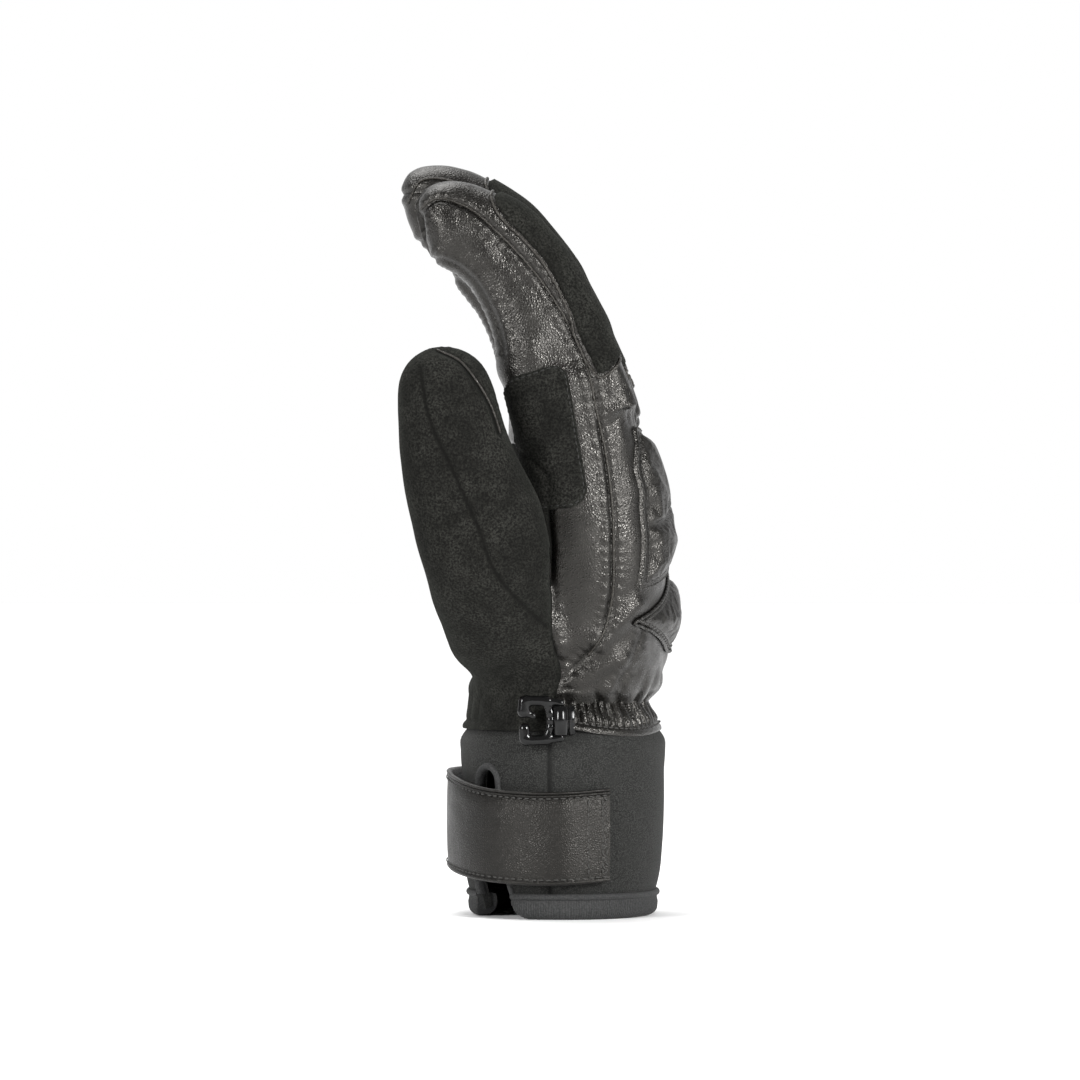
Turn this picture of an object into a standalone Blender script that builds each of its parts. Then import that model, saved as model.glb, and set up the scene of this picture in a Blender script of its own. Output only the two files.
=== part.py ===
"""A right-hand leather ski glove standing on its cuff, modelled in metres, +Z towards the fingertips.

+X is the back of the hand, -X the palm, -Y the thumb side and +Y the little finger side. Everything is laid
out round the cuff's own axis and then moved by FRAME_SHIFT, which puts the origin at the bottom centre of the
whole glove. Each soft tube (cuff, hand, finger, thumb) is a Tube: a centreline with a rounded section, whose
point() also gives the surfaces inside and outside it, so leather, padding and lining are nested offsets.
"""

import math

import bmesh
import bpy
from mathutils import Matrix, Vector

# ---------------------------------------------------------------- driving dimensions, in metres
FRAME_SHIFT = Vector((0.00819, 0.01217, 0.0))

LEATHER = 0.0013
PADDING = 0.0022
HAND_PADDING = 0.0030
LINING = 0.0010
NEOPRENE = 0.0030
SUEDE = 0.0012
GAP = 0.00035  # clearance between touching pieces

KNUCKLE_Z = 0.1850
KNUCKLE_SLOPE = 0.10  # how far the knuckle line drops for each metre towards the little finger
INDEX_Y = -0.0410
KNUCKLE_SQUARENESS = 5.0  # fingers start almost square, so that they fill the top of the hand side by side

# Hand stations: height, palm side X, back side X, half width, squareness of the section.
HAND_STATIONS = (
    (0.0770, -0.0300, 0.0300, 0.0425, 2.2),
    (0.0880, -0.0280, 0.0345, 0.0455, 2.3),
    (0.1050, -0.0235, 0.0365, 0.0500, 2.5),
    (0.1250, -0.0210, 0.0362, 0.0535, 2.8),
    (0.1450, -0.0200, 0.0335, 0.0545, 3.0),
    (0.1650, -0.0195, 0.0285, 0.0545, 3.2),
    (0.1850, -0.0190, 0.0235, 0.0548, 4.6),
)
# Cuff stations: height, half depth, half width.
CUFF_STATIONS = (
    (0.0035, 0.0310, 0.0445),
    (0.0100, 0.0335, 0.0465),
    (0.0250, 0.0355, 0.0480),
    (0.0450, 0.0357, 0.0480),
    (0.0580, 0.0345, 0.0470),
    (0.0632, 0.0312, 0.0440),
    (0.0715, 0.0288, 0.0412),
)
CUFF_FOOT = CUFF_STATIONS[0][0]
BAND_STATIONS = ((0.0640, 0.0342, 0.0470), (0.0765, 0.0302, 0.0427))

# Fingers: name, centre Y, base X, length from the knuckle line to the tip, share of the full thickness and
# how far the tip leans over, in degrees.
FINGERS = (
    ("index", INDEX_Y, 0.0020, 0.0870, 1.00, 105),
    ("middle", -0.0137, 0.0040, 0.1000, 1.00, 102),
    ("ring", 0.0137, 0.0040, 0.0930, 0.98, 88),
    ("little", 0.0408, 0.0010, 0.0760, 0.92, 64),
)
FINGER_BASE_HALF_DEPTH = 0.0210
FINGER_TIP_HALF_DEPTH = 0.0150
FINGER_HALF_WIDTH = 0.0132
CURL_START = math.radians(18)
CURL_POWER = 2.5
SLEEVE_LENGTH = 0.0165  # the soft stretch of a finger that bends at the knuckle

THUMB_TIP = 0.2005  # height of the thumb's top
THUMB_CUT = 0.1240  # height where the hand's leather ends and the thumb's soft sleeve starts
THUMB_SLEEVE = 0.0130
# Thumb stations: height, centre X, centre Y, half depth, half width.
THUMB_STATIONS = (
    (0.0805, -0.0080, -0.0180, 0.0170, 0.0155),
    (0.0905, -0.0150, -0.0330, 0.0215, 0.0165),
    (0.1050, -0.0203, -0.0480, 0.0230, 0.0165),
    (0.1240, -0.0262, -0.0608, 0.0228, 0.0160),
    (0.1450, -0.0322, -0.0635, 0.0220, 0.0160),
    (0.1650, -0.0372, -0.0640, 0.0198, 0.0155),
    (0.1830, -0.0405, -0.0640, 0.0172, 0.0142),
    (0.2005, -0.0420, -0.0640, 0.0160, 0.0132),
)

SHELL_SPLIT_X = 0.0140  # the seam between the palm side and the back of the hand
CUFF_SEAM = math.radians(96)  # angle of the neoprene's two side seams from the back
BINDING_HEIGHT = 0.0075
SLIT_ANGLE = math.radians(-136.4)
SLIT_TOP = 0.0530
SLIT_HALF_FOOT = 0.0085
SLIT_HALF_HEAD = 0.0055
SLIT_TAPE_RADIUS = 0.0016

STRAP_HALF_WIDTH = 0.0172
STRAP_INSIDE = 0.0036
STRAP_THICK = 0.0020
STRAP_START = math.radians(-67)
STRAP_HINGE = math.radians(-87)
STRAP_BEND = math.radians(-150)
STRAP_END = math.radians(-228)
STRAP_Z_START = 0.0266
STRAP_Z_PALM = 0.0320

STRAP_HINGE_OFFSET = STRAP_INSIDE + STRAP_THICK  # the strap bends at its outer surface
FINGER_HINGE = (-0.00278, 0.00856)  # from the centreline's foot at the knuckle line: X and Z
THUMB_HINGE = Vector((-0.0282, -0.0616, 0.1305))
CLIP_PIVOT = Vector((-0.0010, -0.0520, 0.0700))
CLIP_HALF_HEIGHT = 0.0080
CLIP_LENGTH = 0.0145
CLIP_THICK = 0.0030
CLIP_BAR = 0.0012

HAND_SEGMENTS = 32
DIGIT_SEGMENTS = 14

COLOURS = {
    "leather": (0.030, 0.029, 0.027, 0.42),
    "suede": (0.017, 0.018, 0.016, 0.95),
    "neoprene": (0.030, 0.031, 0.031, 0.85),
    "binding": (0.035, 0.036, 0.038, 0.80),
    "padding": (0.62, 0.62, 0.60, 0.95),
    "lining": (0.040, 0.040, 0.045, 0.95),
    "foam": (0.10, 0.10, 0.10, 0.90),
    "hook_and_loop": (0.020, 0.020, 0.022, 0.95),
    "elastic": (0.45, 0.45, 0.44, 0.85),
    "plastic": (0.012, 0.012, 0.013, 0.18),
}


# ---------------------------------------------------------------- small helpers
def clear_scene():
    for obj in list(bpy.data.objects):
        bpy.data.objects.remove(obj, do_unlink=True)


def material(name):
    found = bpy.data.materials.get(name)
    if found:
        return found
    made = bpy.data.materials.new(name)
    made.use_nodes = True
    shader = made.node_tree.nodes["Principled BSDF"]
    red, green, blue, roughness = COLOURS[name]
    shader.inputs["Base Color"].default_value = (red, green, blue, 1.0)
    shader.inputs["Roughness"].default_value = roughness
    made.diffuse_color = (red, green, blue, 1.0)
    return made


def add_mesh(name, points, faces, material_name):
    """A mesh object from points laid out round the cuff's axis. Its normals are made to face out."""
    mesh = bpy.data.meshes.new(name)
    mesh.from_pydata([Vector(p) + FRAME_SHIFT for p in points], [], faces)
    shape = bmesh.new()
    shape.from_mesh(mesh)
    bmesh.ops.recalc_face_normals(shape, faces=shape.faces)
    bmesh.ops.triangulate(shape, faces=shape.faces)
    shape.to_mesh(mesh)
    shape.free()
    mesh.shade_smooth()
    mesh.materials.append(material(material_name))
    obj = bpy.data.objects.new(name, mesh)
    bpy.context.scene.collection.objects.link(obj)
    return obj


def blend_stations(stations, at):
    """The values at one place, read along a list of stations by straight lines between them."""
    if at <= stations[0][0]:
        return stations[0][1:]
    for low, high in zip(stations, stations[1:]):
        if at <= high[0]:
            share = (at - low[0]) / (high[0] - low[0])
            return tuple(a + (b - a) * share for a, b in zip(low[1:], high[1:]))
    return stations[-1][1:]


def spread(start, end, count):
    return [start + (end - start) * i / (count - 1) for i in range(count)]


def whole_turn(segments):
    return [2 * math.pi * i / segments for i in range(segments)]


def grid_faces(rows, columns, wrap):
    """Quads of a grid of points, stored row by row, whose columns may wrap round."""
    faces = []
    for row in range(rows - 1):
        for column in range(columns if wrap else columns - 1):
            after = (column + 1) % columns
            low, high = row * columns, (row + 1) * columns
            faces.append((low + column, low + after, high + after, high + column))
    return faces


# ---------------------------------------------------------------- the tubes that the glove is made of
class Tube:
    """A tube whose section at a place along it is a superellipse, with angle 0 at the back of the hand."""

    def section(self, at):
        """Centre, direction of the back, half depth, half width and squareness at a place along the tube."""
        raise NotImplementedError

    def point(self, at, angle, offset):
        centre, back, depth, width, power = self.section(at)
        cos, sin = math.cos(angle), math.sin(angle)
        across = math.copysign(abs(cos) ** (2 / power), cos) * (depth + offset)
        along = math.copysign(abs(sin) ** (2 / power), sin) * (width + offset)
        return self.settle(centre + back * across + Vector((0, along, 0)))

    def settle(self, point):
        return point


def drop_to_knuckles(point, share):
    """The knuckle line falls towards the little finger, so what sits on it falls too."""
    return point - Vector((0, 0, KNUCKLE_SLOPE * (point.y - INDEX_Y) * share))


class Hand(Tube):
    def section(self, at):
        palm, back, width, power = blend_stations(HAND_STATIONS, at)
        return Vector(((palm + back) / 2, 0, at)), Vector((1, 0, 0)), (back - palm) / 2, width, power

    def settle(self, point):
        low = HAND_STATIONS[1][0]
        share = min(max((point.z - low) / (KNUCKLE_Z - low), 0), 1)
        return drop_to_knuckles(point, share)


class Ring(Tube):
    """An upright tube round the cuff's axis, from (height, half depth, half width) stations."""

    def __init__(self, stations, centre_x=0.0, power=2.15):
        self.stations = stations
        self.centre_x = centre_x
        self.power = power

    def section(self, at):
        depth, width = blend_stations(self.stations, at)
        return Vector((self.centre_x, 0, at)), Vector((1, 0, 0)), depth, width, self.power


class Digit(Tube):
    """A tube with a round tip: the end stretch, tip_radius long, closes like an ellipse."""

    end = 0.0  # the place of the tip
    tip_radius = 0.0

    def tip(self, at, offset):
        """How much of the section is left at a place along the digit, for a surface at this offset."""
        start = self.end - self.tip_radius
        reach = self.tip_radius + offset
        share = min(max((at - start) / reach, 0), 1)
        return math.sqrt(max(1 - share * share, 0))

    def point(self, at, angle, offset):
        centre, back, depth, width, power = self.section(at)
        left = self.tip(at, offset)
        cos, sin = math.cos(angle), math.sin(angle)
        across = math.copysign(abs(cos) ** (2 / power), cos) * (depth + offset) * left
        along = math.copysign(abs(sin) ** (2 / power), sin) * (width + offset) * left
        return self.settle(centre + back * across + Vector((0, along, 0)))


class Finger(Digit):
    STEPS = 60

    def __init__(self, centre_y, base_x, length, thickness, tip_lean):
        self.end = length
        self.thickness = thickness
        self.tip_lean = math.radians(tip_lean)
        self.tip_radius = 0.0140 * thickness
        self.line = [Vector((base_x, centre_y, KNUCKLE_Z))]
        step = length * 1.05 / self.STEPS
        for i in range(self.STEPS):
            lean = self.lean((i + 0.5) * step)
            self.line.append(self.line[-1] + step * Vector((-math.sin(lean), 0, math.cos(lean))))

    def lean(self, at):
        share = max(at, 0) / self.end
        return CURL_START + (self.tip_lean - CURL_START) * share**CURL_POWER

    def section(self, at):
        place = at / (self.end * 1.05) * self.STEPS
        low = min(int(place), self.STEPS - 1)
        centre = self.line[low].lerp(self.line[low + 1], place - low)
        lean = self.lean(at) * min(at / SLEEVE_LENGTH, 1)
        left = max(1 - at / self.end, 0) ** 1.5
        depth = FINGER_TIP_HALF_DEPTH + (FINGER_BASE_HALF_DEPTH - FINGER_TIP_HALF_DEPTH) * left
        back = Vector((math.cos(lean), 0, math.sin(lean)))
        power = KNUCKLE_SQUARENESS + (2.5 - KNUCKLE_SQUARENESS) * min(at / SLEEVE_LENGTH, 1)
        return centre, back, depth * self.thickness, FINGER_HALF_WIDTH * self.thickness, power

    def settle(self, point):
        return drop_to_knuckles(point, 1)


class Thumb(Digit):
    """The thumb is read by height, in level sections."""

    end = THUMB_TIP
    tip_radius = 0.0180

    def section(self, at):
        x, y, depth, width = blend_stations(THUMB_STATIONS, at)
        return Vector((x, y, at)), Vector((1, 0, 0)), depth, width, 2.2


HAND = Hand()
CUFF = Ring(CUFF_STATIONS)
BAND = Ring(BAND_STATIONS, centre_x=-0.0008)
THUMB = Thumb()
DIGITS = {name: Finger(*rest) for name, *rest in FINGERS}


# ---------------------------------------------------------------- solids made from a tube
def open_wall(name, tube, stations, outer, inner, segments, material_name):
    """A tube wall that is open at both ends, between two offsets."""
    angles = whole_turn(segments)
    rows = [(at, outer) for at in stations] + [(at, inner) for at in reversed(stations)]
    points = [tube.point(at, angle, offset) for at, offset in rows + rows[:1] for angle in angles]
    count = len(rows) * segments
    faces = grid_faces(len(rows) + 1, segments, True)
    return add_mesh(name, points[:count], [tuple(i % count for i in face) for face in faces], material_name)


def plug(name, tube, stations, offset, segments, material_name="leather"):
    """A solid tube with flat ends, for joining and cutting."""
    angles = whole_turn(segments)
    points = [tube.point(at, angle, offset) for at in stations for angle in angles]
    faces = grid_faces(len(stations), segments, True)
    last = (len(stations) - 1) * segments
    faces.append(tuple(range(segments)))
    faces.append(tuple(range(last, last + segments)))
    return add_mesh(name, points, faces, material_name)


def digit_rows(digit, start, offset, body_rows):
    first = digit.end - digit.tip_radius
    stations = spread(start, first, body_rows)
    reach = digit.tip_radius + offset
    return stations + [first + reach * math.sin(math.radians(a)) for a in (35, 65)]


def finger_wall(name, digit, start, outer, inner, material_name, body_rows=5):
    """A digit's wall: closed at the tip and open at its base, between two offsets."""
    angles = whole_turn(DIGIT_SEGMENTS)
    points, faces, poles = [], [], []
    for offset in (outer, inner):
        first = len(points)
        rows = digit_rows(digit, start, offset, body_rows)
        points += [digit.point(at, angle, offset) for at in rows for angle in angles]
        faces += [tuple(i + first for i in f) for f in grid_faces(len(rows), DIGIT_SEGMENTS, True)]
        tip = digit.end + offset
        last = first + (len(rows) - 1) * DIGIT_SEGMENTS
        poles.append((first, last, len(points)))
        points.append(digit.point(tip, 0, offset))
        for i in range(DIGIT_SEGMENTS):
            faces.append((last + i, last + (i + 1) % DIGIT_SEGMENTS, len(points) - 1))
    base_out, base_in = poles[0][0], poles[1][0]
    for i in range(DIGIT_SEGMENTS):
        after = (i + 1) % DIGIT_SEGMENTS
        faces.append((base_out + i, base_out + after, base_in + after, base_in + i))
    return add_mesh(name, points, faces, material_name)


def slab(name, place, columns, rows, low, high, material_name):
    """A curved slab. place(column, row, offset) gives a point; low and high are its two offsets."""
    points, faces = [], []
    for offset in (low, high):
        first = len(points)
        points += [place(column, row, offset) for row in rows for column in columns]
        faces += [tuple(i + first for i in f) for f in grid_faces(len(rows), len(columns), False)]
    wide, count = len(columns), len(columns) * len(rows)
    rim = list(range(wide)) + [wide * r + wide - 1 for r in range(1, len(rows))]
    rim += [count - 1 - i for i in range(1, wide)] + [wide * r for r in range(len(rows) - 2, 0, -1)]
    for a, b in zip(rim, rim[1:] + rim[:1]):
        faces.append((a, b, b + count, a + count))
    return add_mesh(name, points, faces, material_name)


def tube_slab(name, tube, angles, stations, low, high, material_name):
    return slab(name, lambda a, s, o: tube.point(s, a, o), angles, stations, low, high, material_name)


def grid_angles(first, last, segments):
    """Angles on the tube's own facets, so that a slab on it lies parallel to it."""
    return [2 * math.pi * i / segments for i in range(first, last + 1)]


def boolean(target, tool, operation):
    modifier = target.modifiers.new(operation.lower(), "BOOLEAN")
    modifier.operation = operation
    modifier.object = tool
    modifier.solver = "EXACT"
    graph = bpy.context.evaluated_depsgraph_get()
    mesh = bpy.data.meshes.new_from_object(target.evaluated_get(graph))
    target.modifiers.clear()
    target.data = mesh
    bpy.data.objects.remove(tool, do_unlink=True)
    return target


def box(name, low, high, material_name="plastic"):
    points = [(x, y, z) for x in (low[0], high[0]) for y in (low[1], high[1]) for z in (low[2], high[2])]
    faces = [(0, 1, 3, 2), (4, 6, 7, 5), (0, 4, 5, 1), (2, 3, 7, 6), (0, 2, 6, 4), (1, 5, 7, 3)]
    return add_mesh(name, points, faces, material_name)


# ---------------------------------------------------------------- hand and thumb root
def hand_and_thumb_root(name, offset, overrun, material_name):
    """The hand's tube joined to the root of the thumb, solid, for one of the nested surfaces."""
    stations = [s[0] for s in HAND_STATIONS]
    rows = [s[0] for s in THUMB_STATIONS if s[0] <= THUMB_CUT]
    if overrun:
        stations = [stations[0] - overrun, *stations, stations[-1] + overrun]
        rows.append(rows[-1] + overrun)
    hand = plug(name, HAND, stations, offset, HAND_SEGMENTS, material_name)
    root = plug(name + "_root", THUMB, rows, offset, DIGIT_SEGMENTS, material_name)
    return boolean(hand, root, "UNION")


def hand_layer(name, outer, inner, material_name):
    layer = hand_and_thumb_root(name, outer, 0.0, material_name)
    return boolean(layer, hand_and_thumb_root(name + "_inside", inner, 0.003, material_name), "DIFFERENCE")


def hand_shell():
    """The leather hand, split along its side seams into a palm panel and a back panel."""
    far = 0.2
    for name, low_x, high_x in (
        ("palm_panel", SHELL_SPLIT_X, far),
        ("back_panel", -far, SHELL_SPLIT_X + GAP),
    ):
        shell = hand_layer(name, 0.0, -LEATHER, "leather")
        boolean(shell, box("side_cutter", (low_x, -far, -far), (high_x, far, 2 * far)), "DIFFERENCE")


def hand_inside():
    outer = -LEATHER - GAP
    inner = outer - HAND_PADDING
    hand_layer("hand_padding", outer, inner, "padding")
    hand_layer("hand_lining", inner - GAP, inner - GAP - LINING, "lining")


# ---------------------------------------------------------------- fingers and thumb
def digit_layers(name, digit, start):
    outer = -LEATHER - GAP
    inner = outer - PADDING
    shell_material = "suede" if name == "thumb" else "leather"
    finger_wall(f"{name}_shell", digit, start, 0.0, -LEATHER, shell_material)
    finger_wall(f"{name}_padding", digit, start, outer, inner, "padding")
    finger_wall(f"{name}_lining", digit, start, inner - GAP, inner - GAP - LINING, "lining")


def knuckle_sleeve(name, digit, start, end):
    """The soft stretch of a digit's wall that bends at the joint, at its full thickness."""
    wall = LEATHER + PADDING + LINING + 2 * GAP
    open_wall(f"{name}_knuckle_sleeve", digit, spread(start, end, 3), 0.0, -wall, DIGIT_SEGMENTS, "leather")


def fingers():
    for name, digit in DIGITS.items():
        knuckle_sleeve(name, digit, 0.0005, SLEEVE_LENGTH)
        start = SLEEVE_LENGTH + 0.0005
        digit_layers(name, digit, start)
        last = digit.end - digit.tip_radius
        stations = [s + 0.0030 * (s == start) for s in spread(start, last, 5)]
        stations[-1] -= 0.0060
        angles = grid_angles(-2, 2, DIGIT_SEGMENTS)
        tube_slab(f"{name}_back_patch", digit, angles, stations, GAP, GAP + SUEDE, "suede")


def thumb():
    knuckle_sleeve("thumb", THUMB, THUMB_CUT + 0.0005, THUMB_CUT + THUMB_SLEEVE)
    digit_layers("thumb", THUMB, THUMB_CUT + THUMB_SLEEVE + 0.0005)


def hand_rows(low, high):
    """Rows for a slab on the hand: its two ends and the hand's own stations between them."""
    return [low, *(s[0] for s in HAND_STATIONS if low < s[0] < high), high]


def index_patch():
    """The suede patch on the thumb side of the hand, below the index finger."""
    angles = grid_angles(-13, -7, HAND_SEGMENTS)
    tube_slab("index_grip_patch", HAND, angles, hand_rows(0.1470, 0.1840), GAP, GAP + SUEDE, "suede")


# ---------------------------------------------------------------- pads on the back of the hand
def padded_panel(name, first, last, low, high, height):
    """A leather cover over a foam block, sewn to the back of the hand."""
    angles = grid_angles(first, last, HAND_SEGMENTS)
    rows = hand_rows(low, high)
    cover = tube_slab(name, HAND, angles, rows, GAP, height, "leather")
    inset = 0.0020
    inside = grid_angles(first + 1, last - 1, HAND_SEGMENTS)
    hollow_rows = hand_rows(low + inset, high - inset)
    hollow_top = height - LEATHER
    hollow = tube_slab("pad_hollow", HAND, inside, hollow_rows, -0.001, hollow_top, "foam")
    boolean(cover, hollow, "DIFFERENCE")
    foam_rows = hand_rows(low + inset + GAP, high - inset - GAP)
    trim = GAP / 0.03
    foam_angles = [inside[0] + trim, *inside[1:-1], inside[-1] - trim]
    tube_slab(f"{name}_foam", HAND, foam_angles, foam_rows, 2 * GAP, hollow_top - GAP, "foam")


def back_pads():
    padded_panel("knuckle_pad", -5, 5, 0.1185, 0.1700, 0.0048)
    padded_panel("wrist_pad", -3, 3, 0.0945, 0.1130, 0.0048)


# ---------------------------------------------------------------- wrist and cuff
def wrist():
    rows = [s[0] for s in BAND_STATIONS]
    open_wall("wrist_band", BAND, rows, 0.0, -LEATHER, HAND_SEGMENTS, "leather")
    elastic = spread(0.0722, 0.0765, 2)
    outer = -LEATHER - GAP
    open_wall("wrist_elastic", BAND, elastic, outer, outer - 0.0011, HAND_SEGMENTS, "elastic")


def on_cuff(angle, height, offset):
    return CUFF.point(height, angle, offset)


def slit_frame():
    """Where the slit is on the cuff: its middle, the direction out and the direction along the hem."""
    middle = on_cuff(SLIT_ANGLE, 0.025, -NEOPRENE / 2)
    ahead = on_cuff(SLIT_ANGLE + 0.02, 0.025, -NEOPRENE / 2)
    along = (ahead - middle).normalized()
    out = Vector((along.y, -along.x, 0)).normalized()
    if out.dot(middle) < 0:
        out = -out
    return Vector((middle.x, middle.y, 0)), out, along


def slit_outline(inset):
    """Half of the slit's outline as (half width, height), from the hem up to the top's middle."""
    head_centre = SLIT_TOP - SLIT_HALF_HEAD
    points = [(SLIT_HALF_FOOT - inset, -0.004)]
    radius = SLIT_HALF_HEAD - inset
    for degrees in (0, 30, 60, 90):
        turn = math.radians(degrees)
        points.append((radius * math.cos(turn), head_centre + radius * math.sin(turn)))
    return points


def slit_cutter():
    middle, out, along = slit_frame()
    half = slit_outline(0.0)
    outline = half + [(-w, z) for w, z in reversed(half[:-1])]
    points = [middle + along * w + Vector((0, 0, z)) + out * d for d in (-0.012, 0.012) for w, z in outline]
    count = len(outline)
    faces = [tuple(range(count)), tuple(range(count, 2 * count))]
    faces += [(i, (i + 1) % count, (i + 1) % count + count, i + count) for i in range(count)]
    return add_mesh("slit_cutter", points, faces, "binding")


def cuff_halves():
    seam_gap = GAP / 0.045
    rows = [s[0] for s in CUFF_STATIONS]
    back = spread(-CUFF_SEAM, CUFF_SEAM, 17)
    tube_slab("cuff_back", CUFF, back, rows, -NEOPRENE, 0.0, "neoprene")
    front = spread(CUFF_SEAM + seam_gap, 2 * math.pi - CUFF_SEAM - seam_gap, 15)
    palm = tube_slab("cuff_palm", CUFF, front, rows, -NEOPRENE, 0.0, "neoprene")
    boolean(palm, slit_cutter(), "DIFFERENCE")


def ring_sweep(name, angles, profile, material_name):
    """An (offset, height) outline swept round the cuff, from the first angle to the last."""
    points = []
    for angle in angles:
        points += [CUFF.point(CUFF_FOOT, angle, offset) for offset, _ in profile]
    for i, point in enumerate(points):
        point.z = profile[i % len(profile)][1]
    count = len(profile)
    faces = grid_faces(len(angles), count, True)
    faces += [tuple(range(count)), tuple(range(len(points) - count, len(points)))]
    return add_mesh(name, points, faces, material_name)


def bindings():
    """The tape folded over the hem, from one edge of the slit round to the other, and the slit's own tape."""
    tape = 0.0011
    room = 0.0005
    inner = -NEOPRENE - room
    shelf = 0.0030
    profile = (
        (tape + room + 0.0012, 0.0),
        (tape + room + 0.0022, BINDING_HEIGHT),
        (room + 0.0022, BINDING_HEIGHT),
        (room, shelf),
        (inner, shelf),
        (inner, BINDING_HEIGHT),
        (inner - tape, BINDING_HEIGHT),
        (inner - tape, 0.0),
    )
    reach = math.radians(14)
    angles = spread(SLIT_ANGLE + reach, SLIT_ANGLE + 2 * math.pi - reach, 33)
    ring_sweep("cuff_binding", angles, profile, "binding")
    middle, out, along = slit_frame()
    inset = SLIT_TAPE_RADIUS + 0.0007
    half = slit_outline(inset)
    half[0] = (half[0][0], 0.0085)
    path = half + [(-w, z) for w, z in reversed(half[:-1])]
    curve = bpy.data.curves.new("slit_binding", "CURVE")
    curve.dimensions = "3D"
    curve.bevel_depth = SLIT_TAPE_RADIUS
    curve.bevel_resolution = 2
    curve.use_fill_caps = True
    spline = curve.splines.new("POLY")
    spline.points.add(len(path) - 1)
    for knot, (w, z) in zip(spline.points, path):
        knot.co = (*(middle + along * w + Vector((0, 0, z)) + FRAME_SHIFT), 1.0)
    curve.materials.append(material("binding"))
    bpy.context.scene.collection.objects.link(bpy.data.objects.new("slit_binding", curve))


# ---------------------------------------------------------------- strap
def strap_place(angle, across, offset):
    """A point on the strap: across runs from -1 at its lower edge to 1 at its upper edge."""
    share = min(max((STRAP_START - angle) / (STRAP_START - math.pi * -1), 0), 1)
    middle = STRAP_Z_START + (STRAP_Z_PALM - STRAP_Z_START) * share
    height = middle + across * STRAP_HALF_WIDTH
    point = CUFF.point(0.030, angle, offset)
    return Vector((point.x, point.y, height))


def strap():
    edges = (-1.0, 0.0, 1.0)
    outside = STRAP_INSIDE + STRAP_THICK
    bend_gap = GAP / 0.040
    anchor = spread(STRAP_START, STRAP_HINGE + bend_gap, 4)
    slab("strap_anchor", strap_place, anchor, edges, 0.0009, outside, "leather")
    root = spread(STRAP_HINGE, STRAP_BEND + bend_gap, 9)
    slab("strap_root", strap_place, root, edges, STRAP_INSIDE, outside, "leather")
    tip = spread(STRAP_BEND, STRAP_END, 11)
    slab("strap_tip", strap_place, tip, edges, STRAP_INSIDE, outside, "leather")
    hook = spread(math.radians(-178), math.radians(-222), 7)
    slab("strap_hook_tape", strap_place, hook, (-0.82, 0.82), 0.0024, STRAP_INSIDE - GAP, "hook_and_loop")
    loop = spread(math.radians(-168), math.radians(-226), 9)
    slab("cuff_loop_tape", strap_place, loop, (-0.9, 0.9), 0.0008, 0.0020, "hook_and_loop")


# ---------------------------------------------------------------- glove clip
def clip():
    """A flat plastic hook that hangs on a webbing loop by an upright bar and swings out from the wrist."""
    px, py, pz = CLIP_PIVOT
    half_y = CLIP_THICK / 2
    top, slot_end, mouth, mouth_end = CLIP_HALF_HEIGHT, 0.0048, 0.0070, 0.0122

    def cut(left, right, low, high):
        return box("clip_cutter", (px - left, py - 0.01, pz + low), (px - right, py + 0.01, pz + high))

    hook = box(
        "clip_hook",
        (px - CLIP_LENGTH, py - half_y, pz - top),
        (px + CLIP_BAR, py + half_y, pz + top),
        "plastic",
    )
    boolean(hook, cut(slot_end, CLIP_BAR, -0.0058, 0.0058), "DIFFERENCE")
    boolean(hook, cut(mouth_end, mouth, -0.0050, 0.0050), "DIFFERENCE")
    boolean(hook, cut(CLIP_LENGTH + 0.001, mouth_end - 0.001, -0.0019, 0.0019), "DIFFERENCE")
    clip_webbing(px, py, pz)


def clip_webbing(px, py, pz):
    """A strip of webbing folded round the clip's bar, seen from above as a U open towards the wrist."""
    near, far, foot = 0.0022, 0.0031, -0.0472
    turn = [math.radians(a) for a in (180, 225, 270, 315, 360)]
    outline = [(px - near, foot)]
    outline += [(px + near * math.cos(a), py + near * math.sin(a)) for a in turn]
    outline += [(px + near, foot), (px + far, foot)]
    outline += [(px + far * math.cos(a), py + far * math.sin(a)) for a in reversed(turn)]
    outline += [(px - far, foot)]
    points = [(x, y, pz + z) for z in (-0.0052, 0.0052) for x, y in outline]
    count = len(outline)
    faces = [tuple(range(count)), tuple(range(count, 2 * count))]
    faces += [(i, (i + 1) % count, (i + 1) % count + count, i + count) for i in range(count)]
    add_mesh("clip_webbing", points, faces, "binding")


# ---------------------------------------------------------------- joint axes
def put_origin_on_axis(names, pivot):
    """Moves the named pieces' origins to a point of their joint's axis. The pieces stay where they are."""
    place = pivot + FRAME_SHIFT
    for name in names:
        obj = bpy.data.objects[name]
        obj.data.transform(Matrix.Translation(-place))
        obj.location = place


def joint_origins():
    for name, centre_y, base_x, *_ in FINGERS:
        foot = drop_to_knuckles(Vector((base_x, centre_y, KNUCKLE_Z)), 1)
        pivot = foot + Vector((FINGER_HINGE[0], 0, FINGER_HINGE[1]))
        pieces = ("shell", "padding", "lining", "back_patch")
        put_origin_on_axis([f"{name}_{piece}" for piece in pieces], pivot)
    put_origin_on_axis(["thumb_shell", "thumb_padding", "thumb_lining"], THUMB_HINGE)
    put_origin_on_axis(["strap_root"], on_cuff(STRAP_HINGE, STRAP_Z_START, STRAP_HINGE_OFFSET))
    tip_pieces = ["strap_tip", "strap_hook_tape"]
    put_origin_on_axis(tip_pieces, on_cuff(STRAP_BEND, STRAP_Z_PALM, STRAP_HINGE_OFFSET))
    put_origin_on_axis(["clip_hook"], CLIP_PIVOT)


def main():
    clear_scene()
    hand_shell()
    hand_inside()
    fingers()
    thumb()
    index_patch()
    back_pads()
    wrist()
    cuff_halves()
    bindings()
    strap()
    clip()
    joint_origins()


main()
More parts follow.
